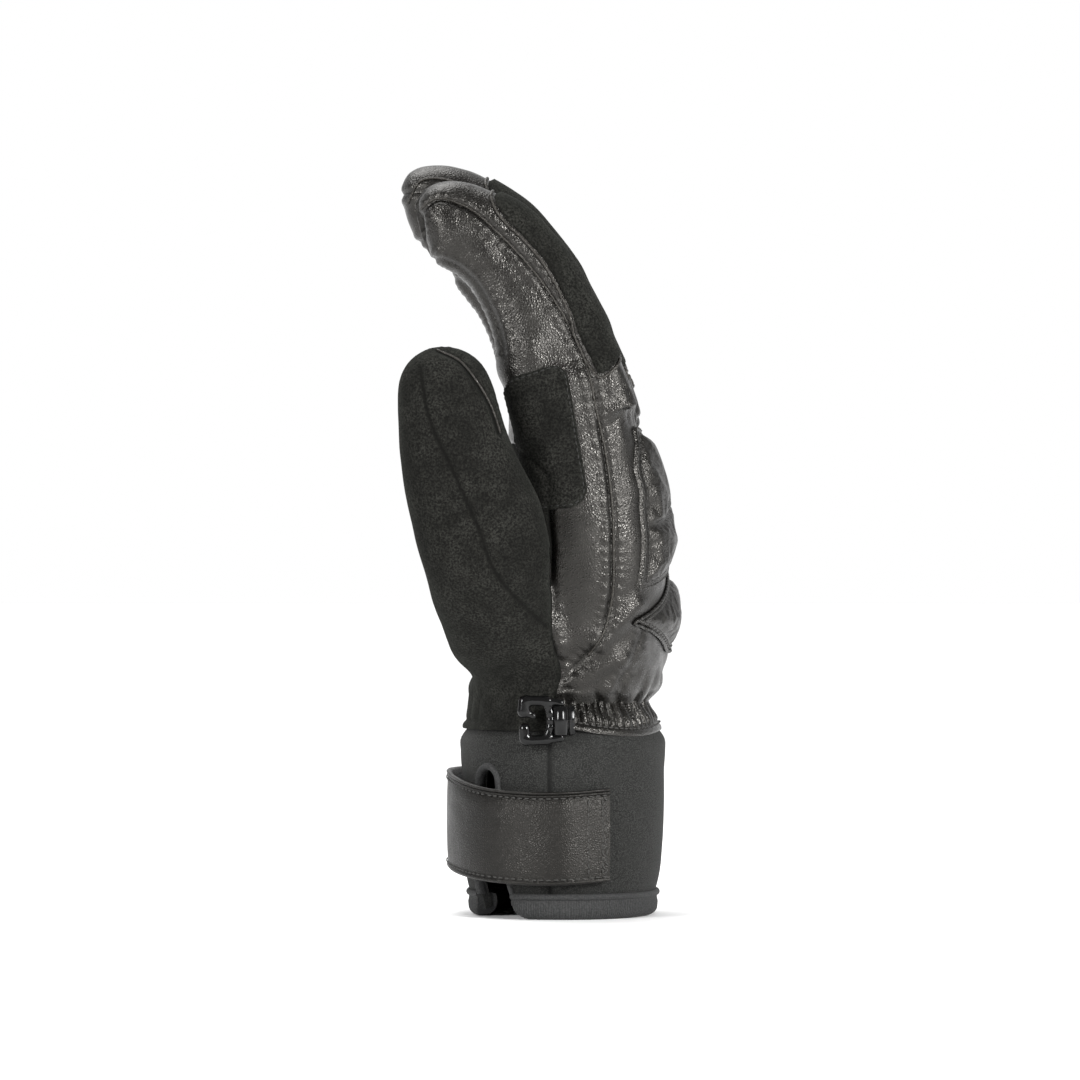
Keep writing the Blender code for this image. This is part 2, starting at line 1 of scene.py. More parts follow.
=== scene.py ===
"""The looks of a right-hand leather ski glove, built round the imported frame.

Everything is worked out in millimetres round the cuff's own axis: +X is the back of the hand, -Y the thumb
side and +Z the fingertips. world() turns those points into the frame's metres. The hand, fingers and thumb
are one distance field, so that they run into each other like sewn leather, and then cut into their pieces.
"""

import math

import bpy
import numpy as np
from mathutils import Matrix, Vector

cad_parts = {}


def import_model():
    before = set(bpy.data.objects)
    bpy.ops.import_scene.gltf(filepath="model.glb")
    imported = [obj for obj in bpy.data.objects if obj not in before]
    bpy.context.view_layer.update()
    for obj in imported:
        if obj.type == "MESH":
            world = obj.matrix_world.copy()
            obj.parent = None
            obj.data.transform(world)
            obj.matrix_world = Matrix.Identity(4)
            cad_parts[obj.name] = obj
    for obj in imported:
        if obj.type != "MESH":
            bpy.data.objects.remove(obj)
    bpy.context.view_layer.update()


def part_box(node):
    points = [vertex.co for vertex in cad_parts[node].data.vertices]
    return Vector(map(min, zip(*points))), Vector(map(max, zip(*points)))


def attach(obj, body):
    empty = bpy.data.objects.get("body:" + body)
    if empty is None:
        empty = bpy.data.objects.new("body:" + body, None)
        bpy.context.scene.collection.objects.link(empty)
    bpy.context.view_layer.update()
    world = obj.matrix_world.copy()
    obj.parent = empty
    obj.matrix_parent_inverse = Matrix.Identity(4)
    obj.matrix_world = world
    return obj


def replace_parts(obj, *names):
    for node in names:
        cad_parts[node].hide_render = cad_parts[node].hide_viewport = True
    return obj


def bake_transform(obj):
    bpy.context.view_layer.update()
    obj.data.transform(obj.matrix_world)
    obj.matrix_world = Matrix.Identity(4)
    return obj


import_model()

import openvdb as vdb
from mathutils import Vector, noise
from mathutils.bvhtree import BVHTree

# ---------------------------------------------------------------- sizes, in millimetres
MM = 0.001
BAND_CENTRE_X = -0.8
BAND_HEM = 66.2  # height of the gathered band's lower edge
band_low, band_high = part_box("wrist_band")
band_x, band_y = ((a + b) / 2 / MM for a, b in zip(band_low[:2], band_high[:2]))
SHIFT = np.array([band_x - BAND_CENTRE_X, band_y, 0])
STEP = 0.8  # spacing of the distance field
SHEET_STEP = 0.8  # spacing of the sewn-on patches and pads

KNUCKLE_Z = 185.0
KNUCKLE_SLOPE = 0.10  # how far the knuckle line drops for each millimetre towards the little finger
SLOPE_START = 88.0
INDEX_Y = -41.0
HAND_TOP = 191.0
HAND_CUT = 197.0  # where the hand's leather ends and the fingers' begins
THUMB_CUT = 131.0
SHELL_FOOT = 75.0

# Hand: height, palm side X, back side X, half width, squareness of the section.
HAND_STATIONS = (
    (70, -32.0, 28.0, 41.0, 2.2),
    (76, -33.0, 30.0, 43.0, 2.2),
    (80, -33.6, 34.0, 45.2, 2.2),
    (88, -30.5, 36.0, 46.5, 2.3),
    (105, -24.0, 36.5, 50.0, 2.5),
    (125, -21.0, 36.2, 53.5, 2.8),
    (145, -20.0, 33.5, 54.5, 3.0),
    (165, -19.5, 28.5, 54.5, 3.2),
    (185, -19.0, 23.5, 54.8, 4.4),
    (200, -19.0, 20.0, 54.8, 4.6),
)
# Thumb: height, centre X, centre Y, half depth, half width.
THUMB_STATIONS = (
    (74, -8.0, -12.0, 15.0, 14.0),
    (80.5, -8.0, -18.0, 18.0, 15.5),
    (90.5, -18.5, -33.0, 18.5, 16.5),
    (105, -23.7, -48.0, 19.6, 16.5),
    (124, -26.5, -60.8, 22.5, 16.0),
    (145, -31.0, -63.5, 23.2, 16.0),
    (165, -37.2, -64.0, 19.8, 15.5),
    (183, -40.5, -64.0, 17.2, 14.2),
    (202, -42.0, -64.0, 16.0, 13.2),
)
THUMB_POWER = 2.2
THUMB_TIP, THUMB_TIP_RADIUS = 200.5, 18.0
THUMB_FOOT, THUMB_FOOT_RADIUS = 88.0, 12.0
# Fingers: name, centre Y, base X, length from the knuckle line, share of the full thickness and how far the
# tip leans over, in degrees.
FINGERS = (
    ("index", -41.0, 2.0, 87.0, 1.00, 105),
    ("middle", -13.7, 4.0, 100.0, 1.00, 102),
    ("ring", 13.7, 4.0, 93.0, 0.98, 88),
    ("little", 40.8, 1.0, 76.0, 0.92, 64),
)
FINGER_BOUNDS = (-200, -27.35, 0, 27.3, 200)  # Y between one finger and the next
FOOT_LEAN = 18

CUFF_STATIONS = (
    (2.5, 30.6, 44.0),
    (10, 33.5, 46.5),
    (25, 35.5, 48.0),
    (45, 36.1, 48.0),
    (58, 36.1, 47.8),
    (63, 35.8, 47.4),
    (66, 34.0, 45.6),
    (72, 29.0, 41.4),
)
CUFF_POWER = 2.15
NEOPRENE = 3.0
SIDE_SEAM = 96.0
SLIT_ANGLE = -136.4
SLIT_TOP = 53.0
SLIT_HALF_FOOT = 10.5
SLIT_HALF_HEAD = 5.2
SLIT_HEAD = SLIT_TOP - SLIT_HALF_HEAD  # the centre of the slit's round end
BINDING_TOP = 8.0
STRAP_HEIGHT = 30.0  # where the cuff's curve under the strap is read
STRAP_START, STRAP_HINGE, STRAP_JOIN, STRAP_BEND, STRAP_END = -67.0, -87.0, -130.0, -150.0, -228.0
CLIP_PIVOT = np.array([-1.0, -52.0, 70.0])


def world(points):
    return (np.asarray(points, float) + SHIFT) * MM


# ---------------------------------------------------------------- numbers
def curve_through(stations):
    """A smooth curve through rows of (place, value, ...), as a function that reads the values at a place."""
    table = np.array(stations, float)
    place, values = table[:, 0], table[:, 1:]
    slopes = np.gradient(values, place, axis=0)

    def read(at):
        at = np.clip(at, place[0], place[-1])
        low = np.clip(np.searchsorted(place, at, "right") - 1, 0, len(place) - 2)
        span = place[low + 1] - place[low]
        t = (at - place[low]) / span
        rise, leave, arrive = t * t * (3 - 2 * t), t * (1 - t) ** 2 * span, t * t * (t - 1) * span
        columns = []
        for value, slope in zip(values.T, slopes.T):
            straight = value[low] + (value[low + 1] - value[low]) * rise
            columns.append(straight + slope[low] * leave + slope[low + 1] * arrive)
        return columns

    return read


def ease(value, start, end):
    share = np.clip((value - start) / (end - start), 0, 1)
    return share * share * (3 - 2 * share)


def bell(value, centre, width):
    return np.exp(-(((value - centre) / width) ** 2))


def round_off(share):
    """Falls from 1 to 0 over a quarter circle."""
    return 1 - np.sqrt(1 - (1 - np.clip(share, 0, 1)) ** 2)


def smooth_min(a, b, reach):
    share = np.clip(0.5 + 0.5 * (b - a) / reach, 0, 1)
    return b + (a - b) * share - reach * share * (1 - share)


def wobble(points, size, seed=0.0):
    """Smooth noise from -1 to 1 at each point, whose lumps are about this size."""
    return np.array([noise.noise(Vector(p)) for p in points / size + seed])


def unit(vectors):
    return vectors / np.maximum(np.linalg.norm(vectors, axis=-1, keepdims=True), 1e-9)


def outward(points):
    """The level direction from the cuff's axis to each point."""
    return unit(points * [1, 1, 0])


def level_across(path):
    """The level direction across a path, at each of its points."""
    ahead = np.gradient(path, axis=0)
    return unit(np.stack([ahead[:, 1], -ahead[:, 0], 0 * ahead[:, 0]], 1))


def run_of(line):
    """How far along a line each of its points is."""
    return np.concatenate([[0], np.cumsum(np.linalg.norm(np.diff(line, axis=0), axis=1))])


def nearest_on(points, line):
    """Which of a line's points is nearest to each point, and how far off it is."""
    place, gap = np.empty(len(points), int), np.empty(len(points))
    for first in range(0, len(points), 20000):
        part = slice(first, first + 20000)
        squares = ((points[part, None] - line) ** 2).sum(2)
        place[part] = squares.argmin(1)
        gap[part] = np.sqrt(squares.min(1))
    return place, gap


def evenly(line, pitch, closed=False):
    """Places evenly spread along a line of points, and the direction of the line at each."""
    line = np.concatenate([line, line[:1]]) if closed else line
    along = run_of(line)
    at = np.arange(pitch / 2, along[-1], pitch)
    read = [np.stack([np.interp(p, along, c) for c in line.T], 1) for p in (at - 0.3, at, at + 0.3)]
    return read[1], unit(read[2] - read[0])


def smooth_line(points, count=260):
    """A smooth line through a few points, as evenly spread samples."""
    points = np.array(points, float)
    along = run_of(points)
    return np.stack(curve_through(np.column_stack([along, points]))(np.linspace(0, along[-1], count)), 1)


# ---------------------------------------------------------------- meshes as arrays
def grid_faces(rows, columns, wrap_rows=False, wrap_columns=False):
    row = np.arange(rows if wrap_rows else rows - 1)[:, None]
    column = np.arange(columns if wrap_columns else columns - 1)
    next_row, next_column = (row + 1) % rows, (column + 1) % columns
    corners = ((row, column), (row, next_column), (next_row, next_column), (next_row, column))
    return np.stack([r * columns + c for r, c in corners], -1).reshape(-1, 4)


def halved(quads):
    return np.concatenate([quads[:, [0, 1, 2]], quads[:, [0, 2, 3]]])


def sides_of(triangles):
    return np.concatenate([triangles[:, [0, 1]], triangles[:, [1, 2]], triangles[:, [2, 0]]])


def edges_of(triangles):
    """Each edge once, and how many triangles share it."""
    return np.unique(np.sort(sides_of(triangles), 1), axis=0, return_counts=True)


def skin_of(field, low, step):
    """Points and quads of the surface where a distance field is zero."""
    grid = vdb.FloatGrid(3.0)
    grid.copyFromArray(np.ascontiguousarray(field, np.float32))
    points, quads = grid.convertToQuads(0.0)
    return points.astype(float) * step + low, quads.astype(int)


def drop_unused(points, triangles, *values):
    """The points that the triangles use, the triangles renumbered, and those points' values."""
    used, back = np.unique(triangles, return_inverse=True)
    return points[used], back.reshape(triangles.shape), *(value[used] for value in values)


def relax(points, triangles, rounds, share=0.5):
    """Evens a surface out by moving each point towards the middle of its neighbours."""
    edges, _ = edges_of(triangles)
    here, there = np.concatenate([edges, edges[:, ::-1]]).T
    count = np.maximum(np.bincount(here, minlength=len(points)), 1)[:, None]
    for _ in range(rounds):
        total = np.stack([np.bincount(here, points[there, i], len(points)) for i in range(3)], 1)
        points = points + share * (total / count - points)
    return points


def point_normals(points, triangles):
    a, b, c = (points[triangles[:, i]] for i in range(3))
    across = np.cross(b - a, c - a)
    total = np.zeros_like(points)
    for corner in triangles.T:
        for axis in range(3):
            total[:, axis] += np.bincount(corner, across[:, axis], len(points))
    return unit(total)


def cut_along(points, triangles, values, where=None):
    """Slides the nearest points onto the line where values is zero, so that no triangle crosses it."""
    a, b = edges_of(triangles)[0].T
    crossing = values[a] * values[b] < 0
    if where is not None:
        crossing &= where[a] & where[b]
    a, b = a[crossing], b[crossing]
    share = values[a] / (values[a] - values[b])
    spot = points[a] + (points[b] - points[a]) * share[:, None]
    moved = np.where(share < 0.5, a, b)
    points, values = points.copy(), values.copy()
    points[moved] = spot
    values[moved] = 0
    return points, values


def face_side(values, triangles):
    """+1 or -1 for each triangle, by the side of the line that it lies on."""
    return np.sign(values[triangles].sum(1))


# ---------------------------------------------------------------- the hand's distance field
read_hand = curve_through(HAND_STATIONS)
read_thumb = curve_through(THUMB_STATIONS)


def knuckle_height(y, z):
    """Height with the fall of the knuckle line taken out."""
    fall = KNUCKLE_SLOPE * (y - INDEX_Y)
    share = fall / (KNUCKLE_Z - SLOPE_START)
    between = (z - SLOPE_START * share) / (1 - share)
    return np.where(z < SLOPE_START, z, np.where(between < KNUCKLE_Z, between, z + fall))


def real_height(y, height):
    """The opposite of knuckle_height."""
    share = np.clip((height - SLOPE_START) / (KNUCKLE_Z - SLOPE_START), 0, 1)
    return height - KNUCKLE_SLOPE * (y - INDEX_Y) * share


def superellipse_distance(power, *parts):
    """Distance from a rounded solid, along the ray from its centre, from (offset, half size) on each axis."""
    q = sum(np.abs(offset / half) ** power for offset, half in parts) ** (1 / power)
    return np.sqrt(sum(offset**2 for offset, _ in parts)) * (1 - 1 / np.maximum(q, 1e-3))


def hand_distance(x, y, z):
    height = knuckle_height(y, z)
    palm, back, width, power = read_hand(height)
    across = x - (palm + back) / 2
    side = superellipse_distance(power, (across, (back - palm) / 2), (y + 0 * z, width))
    return -smooth_min(-side, -(height - HAND_TOP), 5.0)


def thumb_distance(x, y, z):
    cx, cy, depth, width = read_thumb(z)
    top = np.maximum(z - (THUMB_TIP - THUMB_TIP_RADIUS), 0)
    foot = np.maximum(THUMB_FOOT - z, 0)
    ends = (top, THUMB_TIP_RADIUS), (foot, THUMB_FOOT_RADIUS)
    return superellipse_distance(THUMB_POWER, (x - cx, depth), (y - cy, width), *ends)


class Finger:
    """A curled finger: a centreline in the X-Z plane, read as a place along it and a height above it."""

    SAMPLES = 260
    UNDER = 14.0  # how far the centreline runs on into the hand

    def __init__(self, name, y, base_x, length, thickness, tip_lean):
        self.name, self.y, self.length, self.thickness, self.tip_lean = name, y, length, thickness, tip_lean
        self.tip_radius = 14.0 * thickness
        self.base = np.array([base_x, KNUCKLE_Z - KNUCKLE_SLOPE * (y - INDEX_Y)])
        self.s = np.linspace(-self.UNDER, length * 1.12, self.SAMPLES)
        lean = self.lean((self.s[1:] + self.s[:-1]) / 2)
        steps = np.diff(self.s)[:, None] * np.stack([-np.sin(lean), np.cos(lean)], 1)
        line = np.concatenate([[[0, 0]], np.cumsum(steps, 0)])
        start = np.array([np.interp(0, self.s, column) for column in line.T])
        self.line = line - start + self.base

    def lean(self, s):
        return np.radians(FOOT_LEAN + (self.tip_lean - FOOT_LEAN) * (np.maximum(s, 0) / self.length) ** 2.5)

    def depth(self, s):
        left = np.clip(1 - s / self.length, 0, 1) ** 1.5
        return (15 + 6 * left) * self.thickness

    def width(self, s):
        return (12.9 - 0.7 * ease(s, 8, 60)) * self.thickness

    def locate(self, x, z):
        """Place along the centreline and height above it of each point (x, z)."""
        flat = np.stack([x.ravel(), z.ravel()], 1)
        nearest, _ = nearest_on(flat, self.line)
        off_x, off_z = (flat - self.line[nearest]).T
        lean = self.lean(self.s[nearest])
        s = self.s[nearest] - off_x * np.sin(lean) + off_z * np.cos(lean)
        u = off_x * np.cos(lean) + off_z * np.sin(lean)
        return s.reshape(x.shape), u.reshape(x.shape)

    def distance(self, s, u, v):
        past = np.maximum(s - (self.length - self.tip_radius), 0)
        sizes = (u, self.depth(s)), (v, self.width(s)), (past, self.tip_radius)
        return np.maximum(superellipse_distance(5 - 2.4 * ease(s, 0, 18), *sizes), -self.UNDER + 2 - s)

    def point(self, s, across):
        """The (x, z) of a place along the finger, at a share of its half depth above the centreline."""
        lean = self.lean(s)
        u = across * self.depth(s)
        x = np.interp(s, self.s, self.line[:, 0]) + u * np.cos(lean)
        z = np.interp(s, self.s, self.line[:, 1]) + u * np.sin(lean)
        return np.stack([x, z], -1)


fingers = [Finger(*row) for row in FINGERS]
index, middle = fingers[:2]


def glove_surface():
    """Points and triangles of the whole glove above the wrist."""
    low, high = np.array([-66.0, -86.0, 70.0]), np.array([46.0, 60.0, 272.0])
    x, y, z = (np.arange(a, b, STEP) for a, b in zip(low, high))
    gx, gy, gz = x[:, None, None], y[None, :, None], z[None, None, :]
    field = hand_distance(gx, gy, gz)
    digits = np.full(field.shape, 30.0)
    plane_x, plane_z = np.meshgrid(x, z, indexing="ij")
    for finger in fingers:
        s, u = finger.locate(plane_x, plane_z)
        near = np.abs(y - finger.y) < 20
        v = (y[near] - finger.y)[None, :, None]
        digits[:, near, :] = np.minimum(digits[:, near, :], finger.distance(s[:, None, :], u[:, None, :], v))
    field = smooth_min(field, digits, 4.0)
    near = y < 20
    reach = 0.6 + 8.4 * (1 - ease(gz, 96, 131))
    field[:, near, :] = smooth_min(field[:, near, :], thumb_distance(gx, gy[:, near, :], gz), reach)
    points, quads = skin_of(field, low, STEP)
    return drop_unused(points, halved(quads[(points[quads][:, :, 2] > SHELL_FOOT).all(1)]))


# ---------------------------------------------------------------- seams
def seam_shape(gap, along, depth, lip, valley):
    """A sewn groove with puckered leather on both sides, in a wide valley where it pulls the padding in."""
    pucker = 1 + 0.55 * np.sin(along * 2 * math.pi / 3.4 + 1.3 * np.sin(along * 0.37))
    return lip * pucker * bell(gap, 2.3, 1.5) - depth * bell(gap, 0, 0.85) - valley * bell(gap, 0, 6.0)


# Seams seen from the thumb side, as (place along the finger, share of its half depth) or (x, z).
INDEX_SEAM = ((0, 0.39), (12, 0.42), (34, 0.31), (58, 0.24), (73, 0.46), (81, 0.52), (86, 0.25), (88, -0.3))
HAND_SEAM = (
    (10.4, 184), (15.2, 161), (17.2, 144), (17.6, 130), (16.8, 111), (13.8, 100), (8.2, 92), (0.5, 84),
)
MIDDLE_TIP_SEAM = ((0.68, 0.42), (0.78, 0.52), (0.87, 0.64), (0.94, 0.55), (0.985, 0.05))
side_seam = smooth_line([index.point(s, a) for s, a in INDEX_SEAM[::-1]] + list(HAND_SEAM))
thumb_seam_front = smooth_line(((-44, 199), (-36, 195), (-30.5, 188.5), (-25.5, 180), (-22, 170)))
thumb_seam_side = smooth_line(
    ((-50, 193), (-47, 176), (-38, 156), (-29.5, 137), (-23.4, 121), (-15, 111), (-6, 103))
)
wrist_seam = smooth_line(((28.5, 102), (24, 92), (17.7, 79)))
# Soft folds on the thumb side: from (x, z), to (x, z), height and width.
SIDE_FOLDS = (
    ((-21, 192), (-14, 198), 2.2, 7.0),
    ((13, 97), (26, 110), 2.0, 3.2),
    ((3, 84), (20, 91), 1.9, 3.0),
    ((27, 150), (24, 166), 1.0, 4.5),
)


def suede_edge(height):
    """X where the hand's suede palm meets the leather of its back and side."""
    wave = 2.2 * bell(height, 86, 8) - 1.5 * bell(height, 140, 25) + 0.3 * np.sin(height * 0.3)
    return wave - 3.2 - 30 * ease(height, 150, 186)


def seam_displacement(points, labels):
    """How far each point moves out for the seams, and how deep in a seam it is, for painted shade in the
    grooves.
    """
    x, y, z = points.T
    # the second array sets how much the looks darken each point: painted shade in the seam grooves
    move, seam_shading = np.zeros(len(points)), np.zeros(len(points))

    def sew(chosen, gap_and_run, depth, lip, fade=1.0, valley=0.0):
        gap, along = gap_and_run
        move[chosen] += seam_shape(gap, along, depth, lip, valley) * fade
        seam_shading[chosen] = np.maximum(seam_shading[chosen], bell(gap, 0, 0.8) * fade)

    def sew_line(chosen, line, depth, lip, valley=0.0):
        place, gap = nearest_on(points[chosen][:, [0, 2]], line)
        sew(chosen, (gap, run_of(line)[place]), depth, lip, valley=valley)

    is_thumb = labels == "thumb"
    sew_line(~is_thumb & (y < index.y + 1) & (z > 80), side_seam, 0.9, 0.4, 1.6)
    sew_line(is_thumb & (y < -62), thumb_seam_front, 0.6, 0.3, 0.6)
    near_root = (labels == "palm_panel") & (y < -30) & (x < 0)
    sew_line((is_thumb & (y < -62)) | near_root, thumb_seam_side, 0.45, 0.25, 0.6)
    sew_line((labels == "back_panel") & (x > 10) & (z < 108), wrist_seam, 0.45, 0.25)
    for finger in fingers:
        chosen = labels == finger.name
        s, u = finger.locate(x[chosen], z[chosen])
        depth, fade = finger.depth(s), ease(s, 4, 14)
        sew(chosen, (np.abs(u + 0.86 * depth), s), 0.6, 0.3, fade)
        if finger is index:  # its outer side has the side seam instead
            fade = fade * ease(y[chosen], finger.y, finger.y + 4)
        sew(chosen, (np.abs(u - 0.30 * depth), s), 0.7, 0.35, fade)
    hand = (labels == "back_panel") | (labels == "palm_panel")
    edge = np.abs(x[hand] - suede_edge(knuckle_height(y[hand], z[hand])))
    sew(hand, (edge, z[hand]), 0.7, 0.3)
    return move, seam_shading


def wrinkles(points, labels):
    """Folds and gathers, as a distance to move each point out."""
    x, y, z = points.T
    height = knuckle_height(y, z)
    broad = wobble(points, 16.0)
    fine = wobble(points, 6.5, 7.0)
    suede = (labels == "thumb") | (labels == "palm_panel")
    move = 0.45 * broad + np.where(suede, 0.10, 0.16) * fine
    angle = np.arctan2(y, x)
    # gathers under the fingers, on the back of the hand
    gather = bell(height, 181, 9) * ease(x, 10, 18)
    fold = np.abs(np.sin(y * 0.42 + 0.10 * (height - 180) + 1.6 * fine))
    move += gather * (0.9 * fold - 0.7)
    # the hand's leather blouses over the wrist and is gathered into it
    blouse = 1 - ease(z + 3 * broad, 77, 90)
    pleat = np.abs(np.sin(angle * 13 + 2.2 * broad + 0.9 * fine + 0.05 * z))
    move += np.where(suede, 0.35, 1.0) * blouse * (1.5 * pleat - 1.0)
    move += 0.75 * np.sin(z * 0.20 + angle * 3.4 + 2.5 * broad) * bell(z, 94, 12) * ~suede
    for start, end, rise, width in SIDE_FOLDS:
        off, line = points[:, [0, 2]] - start, np.subtract(end, start)
        share = np.clip(off @ line / (line @ line), 0, 1)
        gap = np.linalg.norm(off - share[:, None] * line, axis=1)
        move += rise * bell(gap, 0, width) * (y < -25) * ~suede
    # shallow creases across the inside of each finger's bend
    for finger in fingers:
        chosen = labels == finger.name
        s, u = finger.locate(x[chosen], z[chosen])
        inside = ease(-u, -4, 10)
        crease = np.abs(np.sin(s * 0.24 + 1.5 * fine[chosen] + 1.1 * broad[chosen]))
        move[chosen] += ease(s, 8, 20) * (0.22 * crease - 0.16) * inside
        move[chosen] += 0.22 * np.sin(s * 0.33 + 2.6 * broad[chosen]) * (1 - inside)
    return move


def sew_glove():
    """The glove's surface with its seams and folds, and the piece that each triangle belongs to."""
    points, triangles = glove_surface()
    points = relax(points, triangles, 3)
    x, y, z = points.T
    on_thumb = (thumb_distance(x, y, z) < 2.0) & (y < -40) & (z > THUMB_CUT - 8)
    points, above = cut_along(points, triangles, z - THUMB_CUT, on_thumb)
    thumb_face = (face_side(above, triangles) > 0) & on_thumb[triangles].all(1)
    x, y, z = points.T
    points, above = cut_along(points, triangles, knuckle_height(y, z) - HAND_CUT, ~on_thumb)
    finger_face = (face_side(above, triangles) > 0) & ~thumb_face
    x, y, z = points.T
    points, over = cut_along(points, triangles, x - suede_edge(knuckle_height(y, z)), z < 190)
    faces = np.where(face_side(over, triangles) > 0, "back_panel", "palm_panel").astype("<U12")
    middle_y = points[triangles][:, :, 1].mean(1)
    for finger, low, high in zip(fingers, FINGER_BOUNDS, FINGER_BOUNDS[1:]):
        faces[finger_face & (middle_y > low) & (middle_y <= high)] = finger.name
    faces[thumb_face] = "thumb"
    labels = np.full(len(points), "back_panel", "<U12")
    for name in ("palm_panel", *(f.name for f in fingers), "thumb"):
        labels[triangles[faces == name]] = name
    seams, seam_shade = seam_displacement(points, labels)
    move = seams + wrinkles(points, labels)
    points = points + point_normals(points, triangles) * move[:, None]
    return relax(points, triangles, 1, 0.25), triangles, faces, seam_shade


# ---------------------------------------------------------------- materials
def shade(colour, share=1.0):
    return (*(part * share for part in colour), 1)


class Nodes:
    """A node tree, with short ways to add the nodes that the looks are made of."""

    def __init__(self, tree):
        self.tree = tree

    def put(self, socket, value):
        """Sets a socket to a value, or links another node's output to it."""
        if isinstance(value, bpy.types.NodeSocket):
            self.tree.links.new(value, socket)
        else:
            socket.default_value = value

    def node(self, kind, inputs, **settings):
        made = self.tree.nodes.new("ShaderNode" + kind)
        for name, value in settings.items():
            setattr(made, name, value)
        for name, value in inputs.items():
            self.put(made.inputs[name], value)
        return made.outputs

    def ranged(self, value, low, high, to_low=0.0, to_high=1.0):
        inputs = {"Value": value, "From Min": low, "From Max": high, "To Min": to_low, "To Max": to_high}
        return self.node("MapRange", inputs)["Result"]

    def maths(self, operation, a, b):
        return self.node("Math", {0: a, 1: b}, operation=operation)["Value"]

    def mixed(self, factor, colour_a, colour_b):
        return self.node("Mix", {0: factor, 6: colour_a, 7: colour_b}, data_type="RGBA")[2]


class Look(Nodes):
    """A Principled material. Its own numbers are set straight on the shader's sockets."""

    def __init__(self, name, colour, roughness, **sockets):
        self.material = bpy.data.materials.new(name)
        self.material.use_nodes = True
        super().__init__(self.material.node_tree)
        self.shader = self.tree.nodes["Principled BSDF"]
        self.place = self.node("TexCoord", {})["Object"]
        self.set(Base_Color=shade(colour), Roughness=roughness, **sockets)

    def set(self, **sockets):
        for name, value in sockets.items():
            self.put(self.shader.inputs[name.replace("_", " ")], value)

    def noise(self, size, detail, rough=0.5):
        inputs = {"Vector": self.place, "Scale": 1 / (size * MM), "Detail": detail, "Roughness": rough}
        return self.node("TexNoise", inputs)["Fac"]

    def cells(self, size, feature="F1"):
        inputs = {"Vector": self.place, "Scale": 1 / (size * MM)}
        return self.node("TexVoronoi", inputs, feature=feature)["Distance"]

    # The seam attribute: how deep in a seam each point is, which darkens the colour as painted shade in the
    # grooves.
    def seams(self):
        return self.node("Attribute", {}, attribute_name="seam")["Fac"]

    def bump(self, height, depth, strength):
        """Adds a bump, depth millimetres deep, on top of any that the shader has."""
        inputs = {"Height": height, "Distance": depth * MM, "Strength": strength}
        normal = self.shader.inputs["Normal"]
        if normal.is_linked:
            inputs["Normal"] = normal.links[0].from_socket
        self.put(normal, self.node("Bump", inputs)["Normal"])


def leather_material(name, colour, roughness, grain=0.85, gloss=0.46, has_seam_shade=False):
    tint = (1.0, 0.965, 0.91, 1)
    look = Look(name, colour, roughness, Specular_IOR_Level=gloss, Specular_Tint=tint)
    pebble = look.ranged(look.cells(grain, "DISTANCE_TO_EDGE"), 0.0, 0.42)
    mottle = look.noise(9.0, 3)
    base = look.mixed(look.ranged(mottle, 0.35, 0.7), shade(colour), shade(colour, 1.6))
    # darker in the grain's cracks: painted shade in its recesses
    base = look.mixed(pebble, shade(colour, 0.35), base)
    # darker in the seam grooves: painted shade
    if has_seam_shade:
        base = look.mixed(look.seams(), base, shade(colour, 0.25))
    worn = look.ranged(mottle, 0.3, 0.7, roughness + 0.04, roughness + 0.16)
    look.set(Base_Color=base, Roughness=look.maths("ADD", worn, look.maths("MULTIPLY", pebble, -0.18)))
    look.bump(pebble, 0.11, 0.8)
    look.bump(look.noise(0.35, 3), 0.03, 0.4)
    look.bump(look.noise(3.4, 2), 0.20, 0.5)
    return look.material


def suede_material(name, colour):
    look = Look(name, colour, 0.97, Specular_IOR_Level=0.06, Sheen_Weight=0.03, Sheen_Roughness=0.6)
    speckle = look.noise(0.75, 4, 0.75)
    base = look.mixed(look.ranged(look.noise(11.0, 4, 0.6), 0.40, 0.64), shade(colour), shade(colour, 2.1))
    base = look.mixed(look.ranged(speckle, 0.42, 0.62), shade(colour, 0.30), base)
    # darker in the seam grooves: painted shade
    base = look.mixed(look.seams(), base, shade(colour, 0.30))
    look.set(Base_Color=base, Sheen_Tint=(0.62, 0.66, 0.58, 1))
    look.bump(speckle, 0.35, 0.8)
    look.bump(look.noise(2.4, 3), 0.35, 0.45)
    return look.material


def knit_material(name, colour):
    """Neoprene faced with a fine knit, whose stitches catch the light as a speckle."""
    look = Look(name, colour, 0.86, Specular_IOR_Level=0.12, Sheen_Weight=0.03, Sheen_Roughness=0.5)
    speckle = look.ranged(look.cells(0.45), 0.10, 0.60, 1.0, 0.0)
    base = look.mixed(speckle, shade(colour, 0.55), shade(colour, 2.4))
    base = look.mixed(look.ranged(look.noise(7.0, 3), 0.1, 0.6), shade(colour), base)
    # darker in the seam grooves: painted shade
    look.set(Base_Color=look.mixed(look.seams(), base, shade(colour, 0.3)))
    look.bump(speckle, 0.16, 0.7)
    return look.material


def woven_material(name, colour):
    """Woven tape, with fine ribs."""
    look = Look(name, colour, 0.78, Specular_IOR_Level=0.15, Sheen_Weight=0.03)
    fibres = look.noise(0.5, 2)
    look.set(Base_Color=look.mixed(look.ranged(fibres, 0.35, 0.65), shade(colour, 0.7), shade(colour, 1.5)))
    look.bump(look.cells(0.9), 0.12, 0.6)
    look.bump(fibres, 0.08, 0.5)
    return look.material


def plastic_material(name, colour):
    look = Look(name, colour, 0.14, Specular_IOR_Level=0.30)
    look.set(Roughness=look.ranged(look.noise(2.5, 3), 0.3, 0.7, 0.07, 0.18))
    look.bump(look.noise(4.0, 2), 0.05, 0.3)
    return look.material


def thread_material(name, colour):
    look = Look(name, colour, 0.62, Specular_IOR_Level=0.3)
    look.set(Base_Color=look.mixed(look.noise(0.25, 2), shade(colour, 0.5), shade(colour, 1.6)))
    return look.material


